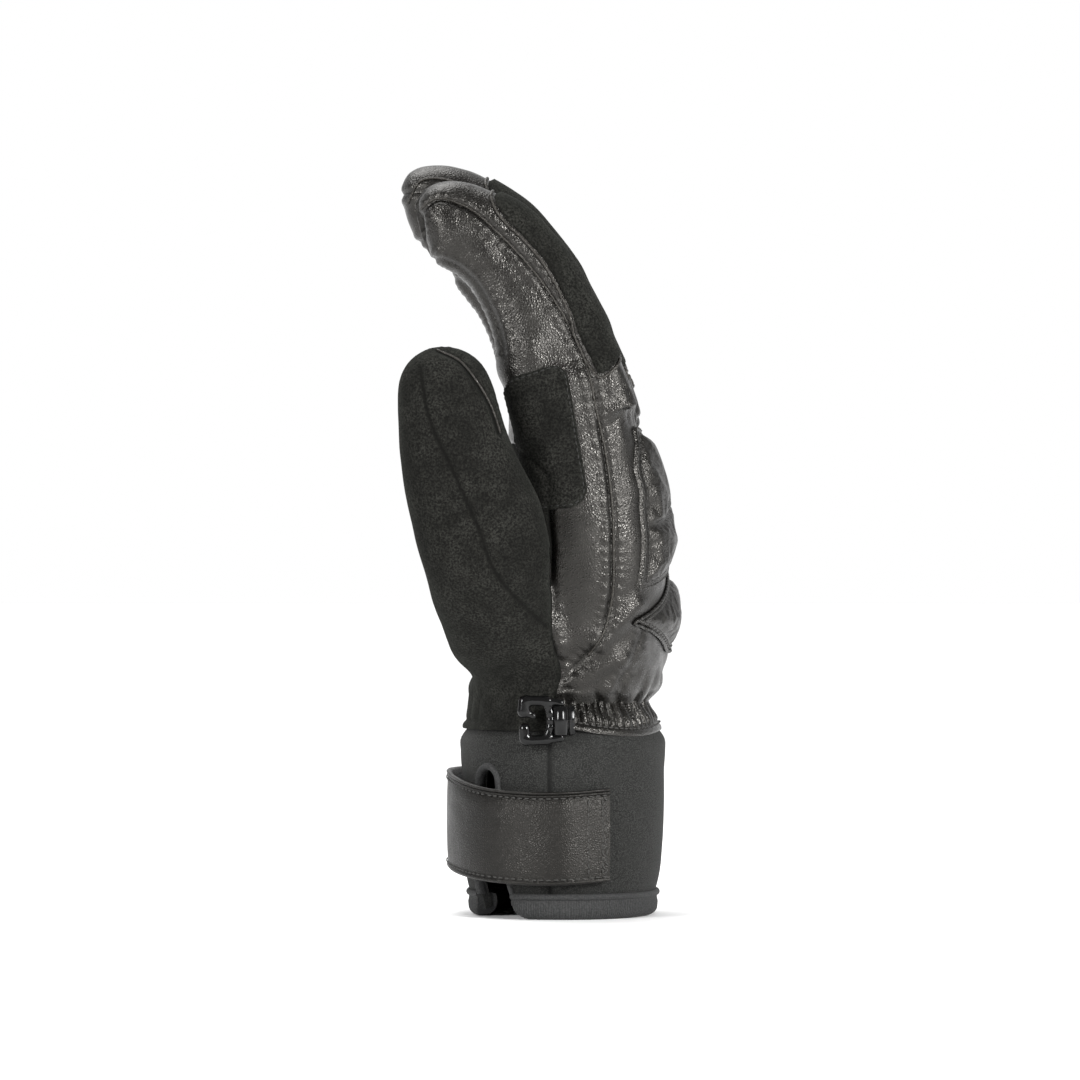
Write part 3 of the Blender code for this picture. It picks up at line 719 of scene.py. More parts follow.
def hook_material(name, colour):
    look = Look(name, colour, 0.9, Specular_IOR_Level=0.1)
    loops = look.cells(0.8)
    look.set(Base_Color=look.mixed(look.ranged(loops, 0.1, 0.6, 1, 0), shade(colour, 0.5), shade(colour, 2)))
    look.bump(loops, 0.5, 0.9)
    return look.material


LEATHER = leather_material("leather", (0.0050, 0.0046, 0.0040), 0.29, has_seam_shade=True)
# a lighter copy of the leather for the raised seam cords: painted highlight along their ridges
HIGHLIT_LEATHER = leather_material("leather_edge", (0.0190, 0.0172, 0.0145), 0.40)
STRAP_LEATHER = leather_material("strap_leather", (0.0055, 0.0051, 0.0045), 0.38, grain=0.8, gloss=0.28)
BAND_LEATHER = leather_material("band_leather", (0.0066, 0.0061, 0.0052), 0.26)
SUEDE = suede_material("suede", (0.0118, 0.0118, 0.0104))
NEOPRENE_KNIT = knit_material("neoprene_knit", (0.0190, 0.0192, 0.0182))
BINDING = woven_material("binding_tape", (0.0270, 0.0272, 0.0272))
PLASTIC = plastic_material("clip_plastic", (0.003, 0.003, 0.003))
THREAD = thread_material("thread", (0.030, 0.029, 0.027))
DARK_THREAD = thread_material("dark_thread", (0.010, 0.010, 0.009))
HOOK_TAPE = hook_material("hook_tape", (0.012, 0.012, 0.013))
LINING = hook_material("fleece_lining", (0.020, 0.020, 0.023))


# ---------------------------------------------------------------- making pieces
def add_object(name, data):
    made = bpy.data.objects.new(name, data)
    bpy.context.scene.collection.objects.link(made)
    return made


def add_piece(name, points, faces, material, seam_shade=None, sharp=None):
    """A smooth piece, but for its edges above sharp degrees. Its seam attribute says how deep in a seam each
    point is, for painted shade in the grooves.
    """
    mesh = bpy.data.meshes.new(name)
    mesh.from_pydata(world(points).tolist(), [], faces if isinstance(faces, list) else faces.tolist())
    mesh.shade_smooth()
    if sharp is not None:
        mesh.set_sharp_from_angle(angle=math.radians(sharp))
    mesh.materials.append(material)
    seam = mesh.attributes.new("seam", "FLOAT", "POINT")
    if seam_shade is not None:
        seam.data.foreach_set("value", np.asarray(seam_shade, np.float32))
    obj = add_object(name, mesh)
    return obj


def sweep(name, path, sides, profile, material, ups=(0, 0, 1.0), closed=False):
    """Sweeps a closed (side, up) profile along a path. Each may change along the path."""
    loop, ups = np.array(profile, float), np.broadcast_to(ups, path.shape)
    if loop.ndim == 2:
        loop = np.broadcast_to(loop, (len(path), *loop.shape))
    made = path[:, None] + sides[:, None] * loop[:, :, :1] + ups[:, None] * loop[:, :, 1:]
    count, around = made.shape[:2]
    faces = grid_faces(count, around, wrap_rows=closed, wrap_columns=True).tolist()
    if not closed:
        faces.append(list(range(around))[::-1])
        faces.append([(count - 1) * around + i for i in range(around)])
    return add_piece(name, made.reshape(-1, 3), faces, material, sharp=70)


def bend_over_knuckle(obj):
    """Bakes obj's transform into its mesh; obj is not bent over the knuckle."""
    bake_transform(obj)


def bend_over_thumb(obj):
    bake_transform(obj)


points, triangles, faces, seam_shade = sew_glove()
glove_tree = BVHTree.FromPolygons(points.tolist(), triangles.tolist())


def glove_pieces():
    """The two panels of the hand, the fingers and the thumb."""
    replaced = {"back_panel": ("back_panel", "hand_padding"), "palm_panel": ("palm_panel",)}
    for digit in (*(f.name for f in fingers), "thumb"):
        replaced[digit] = [f"{digit}_{layer}" for layer in ("shell", "padding", "lining", "knuckle_sleeve")]
    pieces = {}
    for name in np.unique(faces).tolist():
        chosen, own, own_seam_shade = drop_unused(points, triangles[faces == name], seam_shade)
        slot, material = ("suede", SUEDE) if name in ("thumb", "palm_panel") else ("leather", LEATHER)
        label = name if name.endswith("_panel") else f"{name}_shell"
        pieces[name] = add_piece(f"{label}_soft", chosen, own, material, own_seam_shade)
        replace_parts(pieces[name], *replaced[name])
    for finger in fingers:
        bend_over_knuckle(pieces[finger.name])
    bend_over_thumb(pieces["thumb"])
    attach(pieces["back_panel"], "hand")
    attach(pieces["palm_panel"], "hand")


def cast(origins, directions):
    """Where rays from inside the glove meet its surface, and the surface's direction out there."""
    spots, normals = np.array(origins, float), np.array(directions, float)
    for i, (origin, direction) in enumerate(zip(origins, directions)):
        spot, normal, _, _ = glove_tree.ray_cast(Vector(origin), Vector(direction))
        if spot is not None:
            spots[i], normals[i] = spot, normal
    return spots, normals


def stitches(name, places, directions, normals, material=None):
    """Short thread stitches lying on a surface."""
    length, radius, sides = 1.8, 0.30, 6
    rings = ((-1.0, 0.05), (-0.8, 0.8), (0.0, 1.0), (0.8, 0.8), (1.0, 0.05))  # place, share of the radius
    side = unit(np.cross(directions, normals))
    rows = []
    for ring, share in rings:
        for turn in range(sides):
            angle = 2 * math.pi * turn / sides
            off = side * math.cos(angle) + normals * math.sin(angle) * 0.8
            sink = normals * (-0.35 * abs(ring) ** 3 * radius)
            rows.append(places + directions * ring * length / 2 + off * share * radius + sink)
    one = grid_faces(len(rings), sides, wrap_columns=True)[:, ::-1]
    quads = (one + (np.arange(len(places)) * len(rows))[:, None, None]).reshape(-1, 4)
    return add_piece(name, np.stack(rows, 1).reshape(-1, 3), quads, material or THREAD)


def cord(name, spots, normals, radius, material, closed=False):
    """A pinched, stitched ridge along a seam: a fine cord that swells between the stitches."""
    beats = 6  # places for each stitch
    places, directions = evenly(spots, 2.6 / beats, closed)
    out = normals[nearest_on(places, spots)[0]]
    swell = radius * (0.72 + 0.28 * np.abs(np.sin(np.arange(len(places)) * math.pi / beats)))
    turn = np.radians(np.arange(0, 360, 45))
    section = np.stack([np.cos(turn), np.sin(turn)], 1) * swell[:, None, None]
    return sweep(name, places, unit(np.cross(directions, out)), section, material, out, closed)


def side_cord(name, line, y, radius):
    """A cord where a line of (x, z) places, seen from the thumb side, meets the glove's surface."""
    origins = np.column_stack([line[:, 0], np.full(len(line), y), line[:, 1]])
    spots, normals = cast(origins, np.tile([0, -1.0, 0], (len(line), 1)))
    hit = spots[:, 1] < y - 3
    # the cord is the lighter leather: painted highlight on the seam's ridge
    return cord(name, (spots + normals * 0.1)[hit], normals[hit], radius, HIGHLIT_LEATHER)


# ---------------------------------------------------------------- patches and pads sewn onto the glove
def rounded(sides, radius):
    """Signed distance inside an outline, from the distances to its sides, with its corners rounded."""
    grown = np.stack([side + radius for side in sides])
    outside = np.sqrt((np.maximum(grown, 0) ** 2).sum(0))
    return outside + np.minimum(grown.max(0), 0) - radius


class Sheet:
    """A sewn-on piece's outline, in two measures a and b, and the way it lies on the glove.

    ray(a, b) gives the origin and direction of the ray that finds the glove's surface, and outline(a, b) the
    distance from the outline, negative inside it.
    """

    def __init__(self, ray, outline, low, high, centre):
        self.ray, self.outline, self.low, self.high, self.centre = ray, outline, low, high, centre

    def cover(self, name, height, material, slot):
        """The piece, standing height(inside, a, b) off the glove, and a, b and inside at each point."""
        a, b = (np.arange(low, high + SHEET_STEP, SHEET_STEP) for low, high in zip(self.low, self.high))
        grid_a, grid_b = np.meshgrid(a, b)
        flat = np.stack([grid_a.ravel(), grid_b.ravel(), np.zeros(grid_a.size)], 1)
        triangles = halved(grid_faces(len(b), len(a)))
        flat, values = cut_along(flat, triangles, self.outline(flat[:, 0], flat[:, 1]))
        flat, triangles, values = drop_unused(flat, triangles[face_side(values, triangles) < 0], values)
        inside = np.maximum(-values, 0)
        a, b = flat[:, 0], flat[:, 1]
        spots, normals = cast(*self.ray(a, b))
        normals = unit(relax(normals, triangles, 12))
        base = relax(spots, triangles, 4)
        border = inside < 1e-6
        base[border] = spots[border]
        laid = base + normals * height(inside, a, b)[:, None]
        if (point_normals(laid, triangles) * normals).sum() < 0:
            triangles = triangles[:, ::-1]
        return add_piece(name, laid, triangles, material), a, b, inside

    def edge(self, inset):
        """The outline moved in by inset, as places on the glove, and the directions out of it there."""
        turn = np.radians(np.arange(0, 360, 0.5))
        low, high = np.zeros(len(turn)), np.full(len(turn), 90.0)
        for _ in range(24):
            reach = (low + high) / 2
            a, b = self.centre[0] + reach * np.cos(turn), self.centre[1] + reach * np.sin(turn)
            outside = self.outline(a, b) > -inset
            high = np.where(outside, reach, high)
            low = np.where(outside, low, reach)
        return cast(*self.ray(self.centre[0] + low * np.cos(turn), self.centre[1] + low * np.sin(turn)))

    def stitched(self, name, inset, lift, material=None):
        """A row of stitches inside the edge."""
        spots, normals = self.edge(inset)
        spots = spots + normals * lift
        places, directions = evenly(spots, 2.4, closed=True)
        row = stitches(name, places, directions, normals[nearest_on(places, spots)[0]], material)
        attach(row, "hand")

    def corded(self, name, inset, lift, radius, material):
        spots, normals = self.edge(inset)
        return cord(name, spots + normals * lift, normals, radius, material, closed=True)


def edge_profile(inside, thickness, sunk=0.35, roll=0.55):
    """A thin panel's height over the surface: its edge is sunk in and rolls over within a short way."""
    return -sunk + (thickness + sunk) * (1 - round_off(inside / roll))


def patch_height(thickness, puff):
    return lambda inside, a, b: edge_profile(inside, thickness) + puff * ease(inside, 0, 6)


def finger_patch(finger):
    """The suede patch over the back of a finger."""
    radius, half = 16.5 * finger.thickness, 14.0 * finger.thickness
    foot, head = 0.5, finger.length * 0.765

    def ray(s, b):
        angle, lean = b / radius, finger.lean(s)
        x, z = finger.point(s, 0.0).T
        origins = np.stack([x, np.full(len(s), finger.y), z], 1)
        out = np.stack([np.cos(lean) * np.cos(angle), np.sin(angle), np.sin(lean) * np.cos(angle)], 1)
        return origins, out

    def outline(s, b):
        corner = np.where(s > head / 2, 8.0, 3.0)
        return rounded((b - half, -b - half, foot + 9 * (1 - np.abs(b) / half) - s, s - head), corner)

    sheet = Sheet(ray, outline, (foot - 1.5, -half - 1), (head + 1, half + 1), (head / 2, 0))
    name = f"{finger.name}_back_patch"
    patch, *_ = sheet.cover(f"{name}_suede", patch_height(1.35, 0.25), SUEDE, "suede")
    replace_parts(patch, name)
    bend_over_knuckle(patch)
    # the patch's seam cord is the lighter leather: painted highlight on its ridge
    bend_over_knuckle(sheet.corded(f"{name}_seam", -0.75, 0.25, 0.62, HIGHLIT_LEATHER))


def grip_patch():
    """The suede patch on the thumb side of the hand, under the index finger."""
    centre_x, centre_y, radius = 2.0, -37.0, 18.0

    def ray(b, z):
        angle = np.radians(-90) - b / radius
        origins = np.stack([np.full(len(z), centre_x), np.full(len(z), centre_y), z], 1)
        return origins, np.stack([np.cos(angle), np.sin(angle), 0 * z], 1)

    def outline(b, z):
        right = -6.6 + 0.17 * (z - 150) - b
        top = z - (196.0 - 0.42 * (b - 2))
        return rounded((right, b - 22, top, 144.0 - 0.1 * b - z), 7.5)

    sheet = Sheet(ray, outline, (-12, 140), (24, 200), (6, 168))
    patch, *_ = sheet.cover("index_grip_patch_suede", patch_height(1.5, 0.3), SUEDE, "suede")
    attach(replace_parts(patch, "index_grip_patch"), "hand")
    sheet.stitched("index_grip_patch_stitches", 1.3, 1.42, DARK_THREAD)


def back_ray(y, height):
    """Rays out of the back of the hand, for pads laid out in y and in height above a level knuckle line."""
    origins = np.stack([np.full(len(y), 4.0), y, real_height(y, height)], 1)
    return origins, np.tile([1.0, 0, 0], (len(y), 1))


def chevron(y, middle, fall):
    """A line that falls from the middle of the hand's back towards both sides."""
    return middle - fall * np.sqrt(y * y + 16) / 46


def knuckle_outline(y, height):
    side = np.abs(y) - (46.5 - 5.5 * ease(height, 156, 174))
    return rounded((side, height - 173.5, chevron(y, 127.5, 13) - height), 2.5)


def wrist_outline(y, height):
    return rounded((height - chevron(y, 124.5, 21), chevron(y, 93.0, -11.5) - height), 1.5)


def quilted(inside, seam_gap, flange, rise):
    """A flat sewn flange, then a puffed panel that a seam pulls in."""
    puff = 1 - np.exp(-np.maximum(inside - flange, 0) / 3.2)
    return edge_profile(inside, 1.2) + rise * puff - (rise * 0.62) * puff * bell(seam_gap, 0, 1.5)


CLOTH_PRESSURE = 4.0
CLOTH_FRAMES = 20
CLOTH_SLACK = 0.03
CLOTH_REACH = 2.0  # the farthest that the simulation may move a point


def coordinates(mesh):
    flat = np.empty(len(mesh.vertices) * 3)
    mesh.vertices.foreach_get("co", flat)
    return flat.reshape(-1, 3)


def blown_up(obj, pinned):
    """Lets the padding push a sewn panel out in a cloth simulation. Its pinned points stay where they are."""
    group = obj.vertex_groups.new(name="pinned")
    group.add(np.flatnonzero(pinned).tolist(), 1.0, "REPLACE")
    cloth = obj.modifiers.new("cloth", "CLOTH")
    cloth.settings.vertex_group_mass = "pinned"
    cloth.settings.quality = 6
    cloth.settings.mass = 0.25
    cloth.settings.air_damping = 2.0
    cloth.settings.shrink_min = -CLOTH_SLACK
    cloth.settings.use_pressure = True
    cloth.settings.uniform_pressure_force = CLOTH_PRESSURE
    cloth.settings.effector_weights.gravity = 0
    start = coordinates(obj.data)
    for step in range(1, CLOTH_FRAMES + 1):
        bpy.context.scene.frame_set(step)
    move = coordinates(obj.evaluated_get(bpy.context.evaluated_depsgraph_get()).to_mesh()) - start
    obj.modifiers.remove(cloth)
    obj.vertex_groups.remove(group)
    bpy.context.scene.frame_set(1)
    far = np.linalg.norm(move, axis=1, keepdims=True)
    move *= np.minimum(1, CLOTH_REACH * MM / np.maximum(far, 1e-9))
    obj.data.vertices.foreach_set("co", (start + move).ravel())
    obj.data.update()


def padded_cover(sheet, name, height, pinned, *nodes):
    """A pad's leather cover, blown up where pinned(inside, y, z) doesn't hold it."""
    pad, y, z, inside = sheet.cover(name, height, LEATHER, "leather")
    blown_up(pad, pinned(inside, y, z))
    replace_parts(pad, *nodes)
    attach(pad, "hand")


def knuckle_pad():
    def seam_gap(y, z):
        return z - chevron(y, 149.5, 13)

    def height(inside, y, z):
        return quilted(inside, seam_gap(y, z), 3.2, 3.8)

    def pinned(inside, y, z):
        return (inside < 3.4) | (np.abs(seam_gap(y, z)) < 1.2)

    sheet = Sheet(back_ray, knuckle_outline, (-48, 108), (48, 176), (0, 150))
    padded_cover(sheet, "knuckle_pad_cover", height, pinned, "knuckle_pad", "knuckle_pad_foam")
    for row, inset in enumerate((1.0, 2.9), start=1):
        sheet.stitched(f"knuckle_pad_stitches_{row}", inset, 1.25)


def wrist_pad():
    def height(inside, y, z):
        return quilted(inside, np.inf, 2.4, 3.6)  # without a seam across it

    def pinned(inside, y, z):
        return inside < 2.6

    sheet = Sheet(back_ray, wrist_outline, (-46, 90), (46, 126), (0, 108))
    padded_cover(sheet, "wrist_pad_cover", height, pinned, "wrist_pad", "wrist_pad_foam")
    sheet.stitched("wrist_pad_stitches", 1.6, 1.25)
    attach(sheet.corded("wrist_pad_piping", -0.3, 0.6, 0.75, LEATHER), "hand")


def seam_cords():
    """The raised seams of the index finger's side, the middle finger's tip and the thumb."""
    body = side_seam[side_seam[:, 1] > 92]
    bend_over_knuckle(side_cord("index_side_seam", body, index.y, 0.5))
    tip = [middle.point(share * middle.length, across) for share, across in MIDDLE_TIP_SEAM]
    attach(side_cord("middle_side_seam", smooth_line(tip), middle.y, 0.5), "middle")
    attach(side_cord("thumb_seam", thumb_seam_front, -64.0, 0.45), "thumb")


glove_pieces()
for finger in fingers:
    finger_patch(finger)
seam_cords()
grip_patch()
knuckle_pad()
wrist_pad()


# ---------------------------------------------------------------- wrist
def ring_point(degrees, z, depth, width, centre_x=0.0):
    """Points at angles round the wrist, at heights z, on a section with these half sizes."""
    angle = np.radians(degrees)
    cos, sin = np.cos(angle), np.sin(angle)
    x = centre_x + np.sign(cos) * np.abs(cos) ** (2 / CUFF_POWER) * depth
    y = np.sign(sin) * np.abs(sin) ** (2 / CUFF_POWER) * width
    return np.stack(np.broadcast_arrays(x, y, z), -1)


def band_wall(name, first, last, columns, hem, stations, pleat, material):
    """A stretch of the gathered band round the wrist, with a rolled hem."""
    degrees = np.linspace(first, last, columns)[None, :]
    up = np.linspace(0, 1, 22)[:, None]
    hem_height = hem(degrees)
    z = hem_height + (stations[-1][0] - hem_height) * up
    depth, width = curve_through(stations)(z)
    roll = 0.5 * bell(up, 0.08, 0.08) - 0.5 * bell(up, 0.22, 0.07)
    lift = roll + pleat(degrees, up) * ease(up, 0.12, 0.3)
    outer, inner = (ring_point(degrees, z, depth + r, width + r, BAND_CENTRE_X) for r in (lift, lift - 1.2))
    loop = np.concatenate([outer, inner[::-1]])
    faces = grid_faces(len(loop), columns, wrap_rows=True).tolist()
    faces.append([row * columns for row in range(len(loop))])
    faces.append([row * columns + columns - 1 for row in range(len(loop))][::-1])
    return add_piece(name, loop.reshape(-1, 3), faces, material, sharp=75)


def wrist():
    leather = ((62, 36.2, 48.0), (66, 35.6, 47.6), (71, 33.4, 45.6), (75, 30.8, 43.2), (80, 29.0, 41.4))
    palm = ((62, 34.9, 47.2), (66, 34.7, 47.0), (72, 33.6, 46.0), (80, 32.6, 44.6))

    def pleats(degrees, up):
        spread = 2.2 * np.sin(np.radians(degrees) * 5.3) + 1.5 * np.sin(np.radians(degrees) * 11 + up)
        fold = np.abs(np.sin(np.radians(degrees) * 33 + spread * 0.35))
        return (0.55 + 0.9 * up) * (1.35 * fold - 0.7) + 0.25 * np.sin(up * 9 + np.radians(degrees) * 17)

    def soft_pleats(degrees, up):
        fold = np.abs(np.sin(np.radians(degrees) * 11 + 0.6 * np.sin(np.radians(degrees) * 7)))
        return (0.3 + 0.5 * up) * (0.9 * fold - 0.5)

    def hem(degrees):
        dips = bell(degrees, -45, 30) + bell(degrees, 45, 30)
        return BAND_HEM - 2.2 * dips + 1.5 * bell(np.abs(degrees), 93, 14)

    def level(degrees):
        return BAND_HEM + 0 * degrees

    back = band_wall("wrist_band_leather", -94, 94, 560, hem, leather, pleats, BAND_LEATHER)
    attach(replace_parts(back, "wrist_band", "wrist_elastic"), "hand")
    front = band_wall("wrist_band_suede", 94, 266, 260, level, palm, soft_pleats, SUEDE)
    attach(front, "hand")
    degrees = np.linspace(-92, 92, 240)
    places, directions = evenly(ring_point(degrees, hem(degrees) + 2.7, 35.3, 47.7, BAND_CENTRE_X), 2.4)
    out = outward(places)
    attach(stitches("wrist_band_stitches", places + out * 0.1, directions, out), "hand")


wrist()

# ---------------------------------------------------------------- cuff
read_cuff = curve_through(CUFF_STATIONS)


def cuff_point(degrees, z, offset):
    depth, width = read_cuff(z)
    return ring_point(degrees, z, depth + offset, width + offset)


def slit_frame():
    """The slit's middle, the direction out of the cuff there, and the direction along the hem."""
    middle, ahead = (cuff_point(SLIT_ANGLE + d, 25.0, -NEOPRENE / 2) for d in (0, 1))
    along = unit(ahead - middle)
    out = np.array([along[1], -along[0], 0])
    return middle * [1, 1, 0], out * np.sign(out @ middle), along


def slit_half(z):
    return SLIT_HALF_HEAD + (SLIT_HALF_FOOT - SLIT_HALF_HEAD) * np.clip((SLIT_HEAD - z) / SLIT_HEAD, 0, 1)


def slit_gap(points):
    """Distance from the slit's outline, negative inside it; large on the cuff's other side."""
    middle, out, along = slit_frame()
    off = points - middle
    w, z, depth = off @ along, points[:, 2], off @ out
    round_end = np.sqrt(w * w + (z - SLIT_HEAD) ** 2) - SLIT_HALF_HEAD
    shape = np.where(z > SLIT_HEAD, round_end, np.abs(w) - slit_half(z) - 3.5 * round_off(z / 6.0))
    return np.where(depth > -15, shape, 50.0)


def cuff_shell():
    degrees = np.arange(0, 360, 360 / 300)[None, :]
    z = np.arange(2.5, 72.01, 1.1)[:, None]
    points = cuff_point(degrees, z, 0.0).reshape(-1, 3)
    triangles = halved(grid_faces(len(z), degrees.size, wrap_columns=True))
    points, values = cut_along(points, triangles, slit_gap(points))
    points, triangles = drop_unused(points, triangles[face_side(values, triangles) > 0])
    turn = np.degrees(np.arctan2(points[:, 1], points[:, 0]))
    from_seam = np.abs(np.abs(turn) - SIDE_SEAM) * 0.8
    pressed = bell(points[:, 2], 30, 16) * ease(-turn, 60, 75)  # by the strap
    move = 0.5 * wobble(points, 19.0, 3.0) - 0.8 * bell(from_seam, 0, 1.1) - 0.6 * pressed
    move += 0.35 * np.sin(points[:, 2] * 0.35 + turn * 0.11) * bell(points[:, 2], 60, 8)
    normals = point_normals(points, triangles)
    outer, inner = points + normals * move[:, None], points - normals * NEOPRENE
    edges, count = edges_of(triangles)
    directed = set(map(tuple, sides_of(triangles).tolist()))
    rim, total = [], len(points)
    for a, b in edges[count == 1].tolist():
        if (a, b) not in directed:
            a, b = b, a
        rim += [[b, a, a + total], [b, a + total, b + total]]
    everything = np.concatenate([triangles, triangles[:, ::-1] + total, np.array(rim)])
    # darkens the side seam's groove on the outer face: painted shade
    seam_shading = np.concatenate([bell(from_seam, 0, 0.8), np.zeros(total)])
    both = np.concatenate([outer, inner])
    cuff = add_piece("cuff_neoprene", both, everything, NEOPRENE_KNIT, seam_shading, sharp=60)
    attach(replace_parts(cuff, "cuff_back", "cuff_palm"), "hand")


def hem_binding():
    """The wide ribbed tape over the hem, with a bead along its top and rounded ends at the slit."""
    reach = 15.5
    degrees = np.linspace(SLIT_ANGLE + reach, SLIT_ANGLE + 360 - reach, 1100)
    length = np.linspace(0, 250, len(degrees))
    rise = 7.0 * round_off(np.minimum(length, length[-1] - length) / 9.0)
    ribs = 0.10 * np.sin(length * 2 * math.pi / 1.1)
    path = cuff_point(degrees, 4.0, 0.0) * [1, 1, 0]
    section = []  # side, height and whether it is ribbed
    for turn in np.radians(np.arange(-90, 91, 15)):  # the bead
        section.append((2.3 + 1.0 * np.cos(turn), BINDING_TOP + 1.1 * np.sin(turn), 0))
    section += [(1.2, BINDING_TOP + 0.9, 0), (-NEOPRENE - 1.0, BINDING_TOP + 0.2, 0)]
    for turn in np.radians(np.arange(180, 360, 15)):  # round the foot
        side = np.cos(turn) * (3.9 if np.cos(turn) < 0 else 3.3) - 0.9
        section.append((side, 3.2 + 3.2 * np.sin(turn), 1))
    section += [(2.5, 4.6, 1), (2.2, 5.9, 1)]
    side, height, ribbed = np.array(section).T
    loops = np.stack([side + ribs[:, None] * ribbed, np.maximum(height, rise[:, None])], 2)
    tape = sweep("cuff_hem_tape", path, level_across(path), loops, BINDING)
    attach(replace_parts(tape, "cuff_binding"), "hand")


def on_slit_face(w, z):
    """Points of the cuff's outer face at a distance w along the hem from the slit's middle, at height z."""
    middle, _, along = slit_frame()
    degrees = np.linspace(SLIT_ANGLE - 35, SLIT_ANGLE + 35, 400)
    found = []
    for width, height in zip(w, z):
        beside = (cuff_point(degrees, height, 0.0) - middle) @ along
        found.append(np.interp(width, beside, degrees))
    return cuff_point(np.array(found), z, 0.0)


def slit_binding():
    """The narrow tape round the slit's edge."""
    legs = np.linspace(8.0, SLIT_HEAD, 60)
    turn = np.radians(np.arange(3, 178, 3))
    w = np.concatenate([slit_half(legs), SLIT_HALF_HEAD * np.cos(turn), -slit_half(legs)[::-1]])
    z = np.concatenate([legs, SLIT_HEAD + SLIT_HALF_HEAD * np.sin(turn), legs[::-1]])
    surface = on_slit_face(w, z)
    out = outward(surface)
    across = np.cross(unit(np.gradient(surface, axis=0)), out)
    section = []
    for degrees in range(0, 360, 20):
        angle = math.radians(degrees)
        bead = 0.25 * bell(degrees, 60, 22)
        section.append((1.35 * math.cos(angle) + 0.5, (2.1 + bead) * math.sin(angle) - 1.0))
    tape = sweep("slit_edge_tape", surface, across, section, BINDING, out)
    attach(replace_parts(tape, "slit_binding"), "hand")


cuff_shell()
hem_binding()
slit_binding()

# ---------------------------------------------------------------- strap
STRAP_FACE = 2.15  # how far its outer face stands off its inner one
# (share of the half width, height) round the section, with its rolled and piped edges.
STRAP_SECTION = (
    (-1.0, 0.2), (-1.03, 0.9), (-1.02, 1.7), (-0.985, 2.15), (-0.945, 2.05), (-0.93, 1.72), (-0.90, 1.80),
    (-0.6, 2.02), (-0.2, 2.15), (0.2, 2.15), (0.6, 2.02), (0.86, 1.85), (0.885, 1.55), (0.905, 1.85),
    (0.93, 2.2), (0.955, 2.0), (0.965, 1.7), (0.98, 2.1), (1.01, 2.25), (1.035, 1.8), (1.03, 0.8), (1.0, 0.2),
    (0.5, 0.0), (0.0, 0.0), (-0.5, 0.0),
)


def strap_middle(degrees):
    """Height of the strap's middle: it dips by the slit and climbs round the palm side."""
    return 30.2 - 1.6 * bell(degrees, -100, 30) + 4.2 * ease(-degrees, 125, 190)


def strap_offset(degrees):
    """How far the strap's inner face stands off the neoprene."""
    return 1.0 + 2.4 * ease(-degrees, 74, 92)


def strap_half(degrees):
    return 15.9 + 0.7 * ease(-degrees, 120, 170)


def strap_piece(name, first, last, round_last=False):
    degrees = np.linspace(first, last, max(int(abs(last - first) * 1.3), 8))
    path = cuff_point(degrees, STRAP_HEIGHT, strap_offset(degrees))
    out = level_across(path)
    out *= np.sign((out * path).sum(1, keepdims=True))
    half = strap_half(degrees)
    if round_last:
        length = run_of(path)
        half = half - 7.0 * round_off((length[-1] - length) / 7.0)
    path[:, 2] = strap_middle(degrees)
    across, rise = np.array(STRAP_SECTION).T
    loops = np.stack(np.broadcast_arrays(rise, across * half[:, None]), 2)
    return sweep(name, path, out, loops, STRAP_LEATHER)


def strap_surface(degrees, across, rise=STRAP_FACE):
    """A point over the strap's inner face."""
    spots = cuff_point(degrees, STRAP_HEIGHT, strap_offset(degrees) + rise)
    spots[..., 2] = strap_middle(degrees) + across * strap_half(degrees)
    return spots


def strap_hinge(obj, body_a, body_b, degrees, before, after=5.0):
    """Finds the hinge line's place and direction on the strap's outer face, and bakes obj's transform into
    its mesh; obj is not bent.
    """
    spot = strap_surface(degrees, 0.0)
    ahead = unit((strap_surface(degrees - 1.0, 0.0) - spot) * [1, 1, 0])
    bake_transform(obj)


def stitch_on_strap(name, rows, pitch=2.6):
    """Stitches along rows given as (degrees, across) lines."""
    placed = []
    for degrees, across in rows:
        places, directions = evenly(strap_surface(degrees, across, 2.2), pitch)
        placed.append((places, directions, outward(places)))
    return stitches(name, *(np.concatenate(part) for part in zip(*placed)))


def strap():
    first_hinge = ("hand", "strap_root", STRAP_HINGE, 3.0)
    second_hinge = ("strap_root", "strap_tip", STRAP_BEND, 4.0)
    root = strap_piece("strap_root_leather", STRAP_START, STRAP_JOIN)
    strap_hinge(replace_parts(root, "strap_anchor", "strap_root"), *first_hinge)
    tip = strap_piece("strap_tip_leather", STRAP_JOIN, STRAP_END, round_last=True)
    strap_hinge(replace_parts(tip, "strap_tip"), *second_hinge)
    sewn = [(np.full(30, d), np.linspace(-0.84, 0.84, 30)) for d in (-78.5, -71.0)]
    sewn.append((np.where(np.arange(25) % 2, -68.5, -70.4), np.linspace(-0.84, 0.84, 25)))  # a zigzag
    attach(stitch_on_strap("strap_anchor_stitches", sewn, 2.2), "hand")
    for name, first, last, hinge in (
        ("strap_root_stitches", STRAP_START - 1, STRAP_JOIN, first_hinge),
        ("strap_tip_stitches", STRAP_JOIN, STRAP_END + 8, second_hinge),
    ):
        degrees = np.linspace(first, last, 80)
        rows = [(degrees, np.full(80, across)) for across in (-0.90, 0.885)]
        strap_hinge(stitch_on_strap(name, rows), *hinge)


def tape_piece(name, first, last, half, low, high, node, body):
    """A strip of hook or loop tape, between the heights low and high off the neoprene."""
    degrees = np.linspace(first, last, 50)
    path = cuff_point(degrees, STRAP_HEIGHT, 0.0)
    out = outward(path)
    path[:, 2] = strap_middle(degrees)
    upper = [(high, half - 0.5), (high - 0.3, half), (low, half)]
    section = [(rise, -across) for rise, across in upper[::-1]] + upper
    piece = sweep(name, path, out, section, HOOK_TAPE)
    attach(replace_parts(piece, node), body)


strap()
tape_piece("strap_hooks", -178, -222, 13.0, 2.35, 3.3, "strap_hook_tape", "strap_tip")
tape_piece("cuff_loops", -168, -226, 14.5, 0.2, 1.9, "cuff_loop_tape", "hand")


